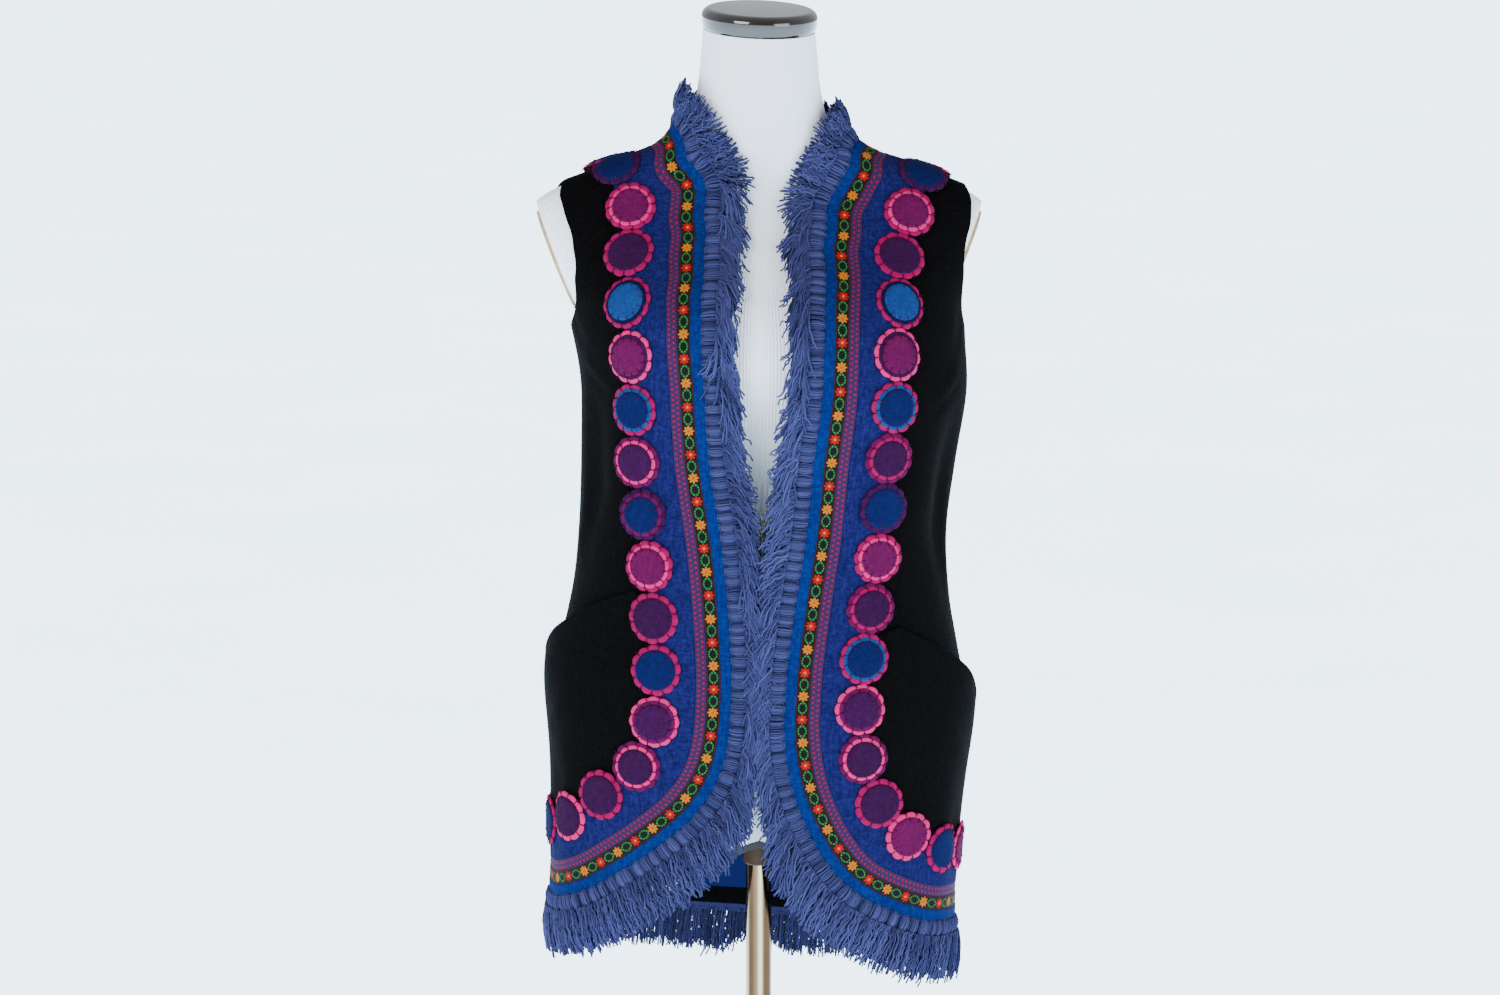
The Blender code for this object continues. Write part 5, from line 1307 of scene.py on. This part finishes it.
def disc_row(edge, colours):
    """All discs of one stretch, and the paths of their stitches."""
    fine = np.linspace(0, edge.length, 400)
    row = VEST.point(*edge.at(fine, DISC_ROW))
    way = unit(np.diff(VEST.point(*edge.at(fine, 0.0)), axis=0))
    run = np.maximum.accumulate(np.append(0, np.cumsum(np.sum(np.diff(row, axis=0) * way, -1)) / MM))
    count = round(run[-1] / DISC_PITCH)
    centres = np.interp((np.arange(count) + 0.5) / count * run[-1], run, fine)
    turn, level = edge.at(centres, DISC_ROW)
    normal = VEST.normal(turn, level)
    beyond = VEST.point(*edge.at(centres, DISC_ROW - 4.0)) - VEST.point(turn, level)
    aside = unit(beyond - normal * np.sum(beyond * normal, -1, keepdims=True))
    along = unit(np.cross(aside, normal))
    chance = np.random.default_rng(len(edge.name) + count)
    angle = np.arange(DISC_SIDES) / DISC_SIDES * 2 * math.pi
    points, faces, felts_used, stitches = [], [], [], []

    def ring_at(k, radii, height, base):
        wanted = base + (np.cos(angle) * radii)[:, None] * MM * along[k] \
            + (np.sin(angle) * radii)[:, None] * MM * aside[k]
        at = VEST.nearest(wanted, np.full(DISC_SIDES, turn[k]), np.full(DISC_SIDES, level[k]), 8)
        return lifted(*at, height)

    def layer(k, radius, low, thick, notch, felt, spin):
        base = VEST.point(turn[k], level[k])
        cusp = np.abs(np.cos(angle * NOTCHES / 2 + spin)) ** 0.32
        wobble = 1 + 0.012 * np.sin(angle * 2 + spin) + 0.010 * np.sin(angle * 3 - spin)
        edge_at = radius * wobble * (1 - notch * (1 - cusp))
        sections = [(edge_at, low), (edge_at + 0.15, low + thick * 0.55),
                    (edge_at - 0.5, low + thick), (edge_at * 0.90, low + thick + 0.35),
                    (edge_at * 0.62, low + thick + 0.25), (edge_at * 0.3, low + thick + 0.3)]
        start = len(points)
        for radii, height in sections:
            dip = 0.35 * notch * 12 * (1 - cusp) * (height > low)
            points.extend(ring_at(k, radii, height - dip, base))
        for row in range(len(sections) - 1):
            for i in range(DISC_SIDES):
                j = (i + 1) % DISC_SIDES
                a = start + row * DISC_SIDES
                faces.append((a + i, a + j, a + DISC_SIDES + j, a + DISC_SIDES + i))
                felts_used.append(felt)
        last = start + (len(sections) - 1) * DISC_SIDES
        faces.append(tuple(range(last, last + DISC_SIDES)))
        faces.append(tuple(range(start, start + DISC_SIDES))[::-1])
        felts_used.extend((felt, felt))
        at = (np.arange(NOTCHES) + 0.5) / NOTCHES * 2 * math.pi - spin * 2 / NOTCHES
        at = at + chance.normal(0, 0.02, NOTCHES)
        reach = np.array([1.012, 1.0, 0.94, 0.86, 0.80])
        way = np.cos(at)[:, None] * along[k] + np.sin(at)[:, None] * aside[k]
        wanted = base + radius * MM * reach[:, None] * way[:, None]
        place = VEST.nearest(wanted, np.full((NOTCHES, 5), turn[k]), np.full((NOTCHES, 5), level[k]), 8)
        stitches.extend(lifted(*place, low + thick + np.array([-thick, 0.0, 0.55, 0.55, 0.1])))

    for k in range(count):
        disc = colours[k % len(colours)]
        spin = chance.uniform(0, math.pi)
        low = DISC_LIFT
        layer(k, OUTER_RADIUS, low, OUTER_THICK, 0.14, disc.outer, spin)
        low += OUTER_THICK
        if disc.ring:
            layer(k, RING_RADIUS, low, RING_THICK, 0.085, disc.ring, spin + 0.5)
            low += RING_THICK
        inner_radius = INNER_RADIUS if disc.ring else PLAIN_INNER_RADIUS
        layer(k, inner_radius, low, INNER_THICK, 0.03, disc.inner, spin + 1.0)
    mesh = mesh_from(f"discs_{edge.name}", points, faces)
    indices = [felt_order.index(felt) for felt in felts_used]
    mesh.polygons.foreach_set("material_index", indices)
    return link(f"felt_discs_{edge.name}", mesh, felts.values()), np.array(stitches)


stitch_look = Look("pink_stitch_cotton", (0.10, 0.004, 0.05), 0.9, Specular_IOR_Level=0.05)
pinks = (0.016, 0.0006, 0.010), (0.070, 0.002, 0.028)
stitch_look.set("Base Color", stitch_look.mix(stitch_look.noise(220.0), *pinks))
stitch_look.bump(stitch_look.noise(1500.0), 0.0001)
for edge in EDGES.values():
    discs, stitches = disc_row(edge, DISC_COLOURS.get(edge.name, BACK_COLOURS))
    finish_piece(discs, "pink_felt", f"discs_{edge.name}")
    sewing = threads_piece(f"disc_stitches_{edge.name}", stitches, 0.42 * MM, 0.0, stitch_look)
    finish_piece(sewing, "pink_felt")
    trims[edge.name] += [discs, sewing]


# The fringe: kinked cotton yarn in a looped heading on a narrow tape, stitched down beside the bright
# strip. The loops sit in small bundles. The loose ends lie in three layers, and lean to the ground,
# or stand up at the neck.
YARN_RADIUS = 0.92
YARN_SPACING = 1.08
YARN_POINTS = 9
Layer = namedtuple("Layer", "rise share")
YARN_LAYERS = (Layer(0.4, 0.95), Layer(2.4, 0.85), Layer(4.4, 1.0))
TAPE_FIRST, TAPE_LAST = 17.0, 34.0
HEADING_FIRST, HEADING_LAST = 16.6, 33.0
BUNDLE_PITCH = 10.4
BUNDLE_YARNS = 7
BUNCH = 8.5
LOCK_LEAN = 60.0
HANGING_YARN = 43.0
RISING_YARN = 31.0
yarn = Look("periwinkle_yarn", (0.03, 0.034, 0.20), 0.9, Specular_IOR_Level=0.25)
# The tone attribute carries painted shade from the heading and the loose yarns, besides random tone; it
# picks between a shaded and a lighter yarn colour.
tone = yarn.node("Attribute", {"attribute_name": "tone"}, None, "Fac")
dapple = yarn.noise(260.0, detail=2.0)
shade = yarn.mix(tone, (0.0034, 0.0042, 0.025), (0.042, 0.047, 0.160))
yarn.set("Base Color", yarn.mix(dapple * 0.35, shade, (0.012, 0.014, 0.070)))
yarn.bump(yarn.noise(1700.0, detail=2.0), 0.00025)


def heading(edge, chance):
    """Paths of the heading's loops: each bundle bows up between its two rows of stitching."""
    bundles = round(edge.length / BUNDLE_PITCH)
    pitch = edge.length / bundles
    steps = np.linspace(0, 1, 9)
    paths, tones_and_shade = [], []
    for k in range(bundles):
        shift, bulge = chance.normal(0, 0.10), chance.uniform(0.82, 1.14)
        for i in range(BUNDLE_YARNS):
            spread = (i + 0.5) / BUNDLE_YARNS - 0.5
            pinch = (0.56 + 0.40 * np.sin(steps * math.pi) ** 0.7) * bulge
            along = (k + 0.5 + shift + spread * pinch) * pitch + chance.normal(0, 0.35)
            along = np.clip(along, 0.4, edge.length - 0.4)
            across = HEADING_FIRST + (HEADING_LAST - HEADING_FIRST) * steps
            rise = 1.3 + 3.4 * np.sin(steps * math.pi) ** 0.7 * math.cos(spread * 2.7)
            paths.append(lifted(*edge.at(along, across), ON_PANEL + rise))
            # Painted shade: the yarns at a bundle's sides, which sink between bundles, get a darker tone;
            # the rest of the tone is random.
            tones_and_shade.append(np.full(9, chance.uniform(0.45, 0.95) - 0.55 * abs(spread)))
    stitch_rows = []
    for across in (HEADING_FIRST + 1.2, HEADING_LAST - 1.0):
        for k in range(bundles * 3):
            along = (k + np.linspace(0.1, 0.9, 5)) * edge.length / bundles / 3
            rise = 2.6 + 1.1 * np.sin(np.linspace(0, math.pi, 5))
            stitch_rows.append(lifted(*edge.at(along, across), ON_PANEL + rise))
    return np.array(paths), np.array(tones_and_shade), np.array(stitch_rows)


def loose_yarns(edge, chance):
    """Paths of the loose yarns, walked over the surface from the heading, each in its own way. The
    lowest layer is even; the upper ones gather in small bunches."""
    fine = np.linspace(0, edge.length, 300)
    outer = (measured(*edge.at(fine, HEADING_LAST + 14)) + measured(*edge.at(fine, HEADING_LAST))) / 2
    all_paths, all_tones_and_shade = [], []
    for rise, share in YARN_LAYERS:
        count = round(outer[-1] / YARN_SPACING * share)
        gather = 0.0 if rise < 1 else 1.0
        along = np.interp((np.arange(count) + 0.5) / count * outer[-1], outer, fine)
        along += chance.normal(0, 0.15 + 0.45 * gather, count)
        along = np.clip(along, 1.0, edge.length - 1.0)
        turn, level = edge.at(along, HEADING_LAST - 2.0)
        here = VEST.point(turn, level)
        way = unit(VEST.point(*edge.at(along, HEADING_LAST + 2.0)) - here)
        level_way = 1 - way[:, 2] ** 2
        rising = smooth_step((way[:, 2] - 0.02) / 0.42)
        bunch = np.floor(along / BUNCH + rise)
        bunch_turn = np.array([np.random.default_rng(int(b) + 77).normal(0, 1) for b in bunch])
        to_middle = (along / BUNCH + rise - bunch - 0.5) * 2
        closed = smooth_step((34 - np.abs(here[:, 0]) / MM) / 18)
        upper = smooth_step((here[:, 2] / MM - 900) / 80)
        foot = smooth_step((900 - here[:, 2] / MM) / 60) * closed
        lean = (1 - rising) * (LOCK_LEAN - 22 + 14 * closed + 8 * upper) * level_way
        lean = np.radians(lean + gather * 10 * bunch_turn + chance.normal(0, 2 + 5 * gather, count))
        droop = np.radians(46.0 * (1 - rising) * level_way)
        length = RISING_YARN * rising + (HANGING_YARN - 6.0 * upper - 9.0 * foot) * (1 - rising)
        length *= (1 + 0.08 * gather * bunch_turn) * chance.uniform(0.78, 1.08, count)
        height = ON_PANEL + rise + chance.uniform(-0.8, 0.8, count)
        curl = gather * bunch_turn * 5 + chance.normal(0, 0.25 + 0.5 * gather, count)
        path = []
        for k in range(YARN_POINTS):
            t = k / (YARN_POINTS - 1)
            bow = 1.6 * np.sin(t * math.pi) * (1 + 0.5 * bunch_turn)
            path.append(lifted(turn, level, height + bow))
            normal = VEST.normal(turn, level)
            down = np.array([0, 0, -1.0])
            fall = unit(down - normal * np.sum(normal * down, -1, keepdims=True))
            flat_way = unit(way - normal * np.sum(way * normal, -1, keepdims=True))
            beside = np.cross(normal, flat_way)
            angle = (lean + droop * t)[:, None]
            kinked = 0.42 * np.sin(k * 1.9 + curl) + 0.34 * np.sin(k * 3.3 + 2 * curl)
            kinked = (0.35 + 0.65 * gather) * (1 + 1.4 * rising) * kinked - gather * 0.2 * to_middle
            ahead = unit(np.cos(angle) * flat_way + np.sin(angle) * fall + beside * kinked[:, None])
            target = VEST.point(turn, level) + ahead * (length * MM / (YARN_POINTS - 1))[:, None]
            turn, level = VEST.nearest(target, turn, level, 3)
        all_paths.append(np.stack(path, 1))
        # Painted shade: each loose yarn is darker towards its root and in the lower layers, under the upper
        # ones; the rest of its tone is random.
        root_shade_ramp = np.linspace(-0.14, 0.20, YARN_POINTS)
        tones_and_shade = chance.uniform(0.15, 0.85, count)[:, None] + root_shade_ramp + 0.09 * rise - 0.22
        all_tones_and_shade.append(np.clip(tones_and_shade, 0, 1))
    return np.concatenate(all_paths), np.concatenate(all_tones_and_shade)


tape_look = Look("heading_tape", (0.03, 0.034, 0.16), 0.9, Specular_IOR_Level=0.2)
weave = tape_look.noise(700.0)
tape_look.set("Base Color", tape_look.mix(weave, (0.006, 0.008, 0.042), (0.020, 0.024, 0.095)))
tape_look.bump(tape_look.noise(900.0, "UV", (1.0, 0.3, 1.0)), 0.0004)
for edge in EDGES.values():
    fringe_node = f"fringe_{edge.name}"
    strip("heading_tape", edge, TAPE_FIRST, TAPE_LAST, 1.0, tape_look, "fringe_yarn", lanes=3,
          node=fringe_node)
    chance = np.random.default_rng(400 + len(edge.name))
    loops, loop_tones_and_shade, rows = heading(edge, chance)
    strands, strand_tones_and_shade = loose_yarns(edge, chance)
    row_tones = np.full(rows.shape[:2], 0.3)
    head = threads_piece(f"heading_{edge.name}", loops, 1.0 * MM, 0.6 * MM, yarn, 4, loop_tones_and_shade)
    loose = threads_piece(f"loose_yarn_{edge.name}", strands, YARN_RADIUS * MM, 2.0 * MM, yarn, 3,
                          strand_tones_and_shade)
    sewing = threads_piece(f"heading_stitches_{edge.name}", rows, 0.55 * MM, 0.0, yarn, 3, row_tones)
    finish_piece(head, "fringe_yarn", fringe_node)
    finish_piece(loose, "fringe_yarn", fringe_node)
    finish_piece(sewing, "fringe_yarn")
    trims[edge.name] += [head, loose, sewing]


# Inside the back's hem: a blue lining that ends above a black felt facing, both sewn to the back.
INSIDE = -FELT / 2 - LAYER_LIFT
LINING_OUTER, LINING_INNER = -58.0, 8.0
FACING_OUTER, FACING_INNER = 8.6, 25.0


def inner_strip(name, node, first, last, thick, look, slot):
    """A strip inside the back's hem, short of both side seams."""
    edge = EDGES["back_hem"]
    along = np.linspace(28.0, edge.length - 28.0, 160)
    offsets = np.linspace(first, last, 13)
    rows = [edge.at(along, across) for across in offsets]
    count = len(along)
    faces = [(a, a + 1, a + 1 + count, a + count) for row in range(len(offsets) - 1)
             for a in range(row * count, (row + 1) * count - 1)]
    made, area = cloth(name, np.concatenate([row[0] for row in rows]),
                       np.concatenate([row[1] for row in rows]), faces, INSIDE - thick, INSIDE, look,
                       np.tile(along, len(offsets)) * MM, np.repeat(offsets, count) * MM)
    finish_piece(made, slot, node)
    return made


lining_look = Look("blue_lining", (0.012, 0.05, 0.36), 0.8, Specular_IOR_Level=0.1)
spot, across = lining_look.sides(lining_look.place("UV", IN_MILLIMETRES))
weave = (spot * 9.0).math("SINE") * (across * 9.0).math("SINE") * 0.5 + 0.5
lining_look.set("Base Color", lining_look.mix(weave, (0.0012, 0.0035, 0.045), (0.003, 0.009, 0.085)))
lining_look.bump(lining_look.noise(30.0, detail=3.0), 0.002)
lining_look.bump(weave, 0.0001)
lining = inner_strip("blue_lining_strip", "back_lining", LINING_OUTER, LINING_INNER, 1.0,
                     lining_look, "blue_lining")
facing = inner_strip("felt_hem_facing", "back_hem_facing", FACING_OUTER, FACING_INNER, 1.4,
                     black_felt, "black_felt")


# The seams at the sides and shoulders: black thread between the felt's raw edges, pulled in so that
# no light comes through.
seam_paths = []
for side, seam_turn in (("right", -math.pi / 2), ("left", math.pi / 2)):
    ends = whole_lane(EDGES[side + "_front"], EDGE_LANE)[1][[0, -1]]
    tips = VEST.level([FRONT_ARMHOLE[side][0].height, FRONT_ARMHOLE[side][-1].height])
    for low, high in ((ends.min(), tips[0]), (tips[1], ends.max())):
        seam_paths.append(lifted(np.full(160, seam_turn), np.linspace(low, high, 160), 0.0))
seam_thread = Look("black_thread", (0.002, 0.002, 0.002), 0.9, Specular_IOR_Level=0.05)
seam_thread.set("Base Color", seam_thread.mix(seam_thread.noise(900.0), (0.0006, 0.0006, 0.0008),
                                              (0.0050, 0.0046, 0.0046)))
seam_thread.bump(seam_thread.noise(1500.0), 0.0002)
sewing = threads_piece("seam_thread", np.array(seam_paths), 0.9 * MM, 0.0, seam_thread, 6)
finish_piece(sewing, "black_felt")


# What the back carries: the trims of its hem and neck, its lining and its facing.
trims["back_hem"] + trims["back_neck"] + [lining, facing]
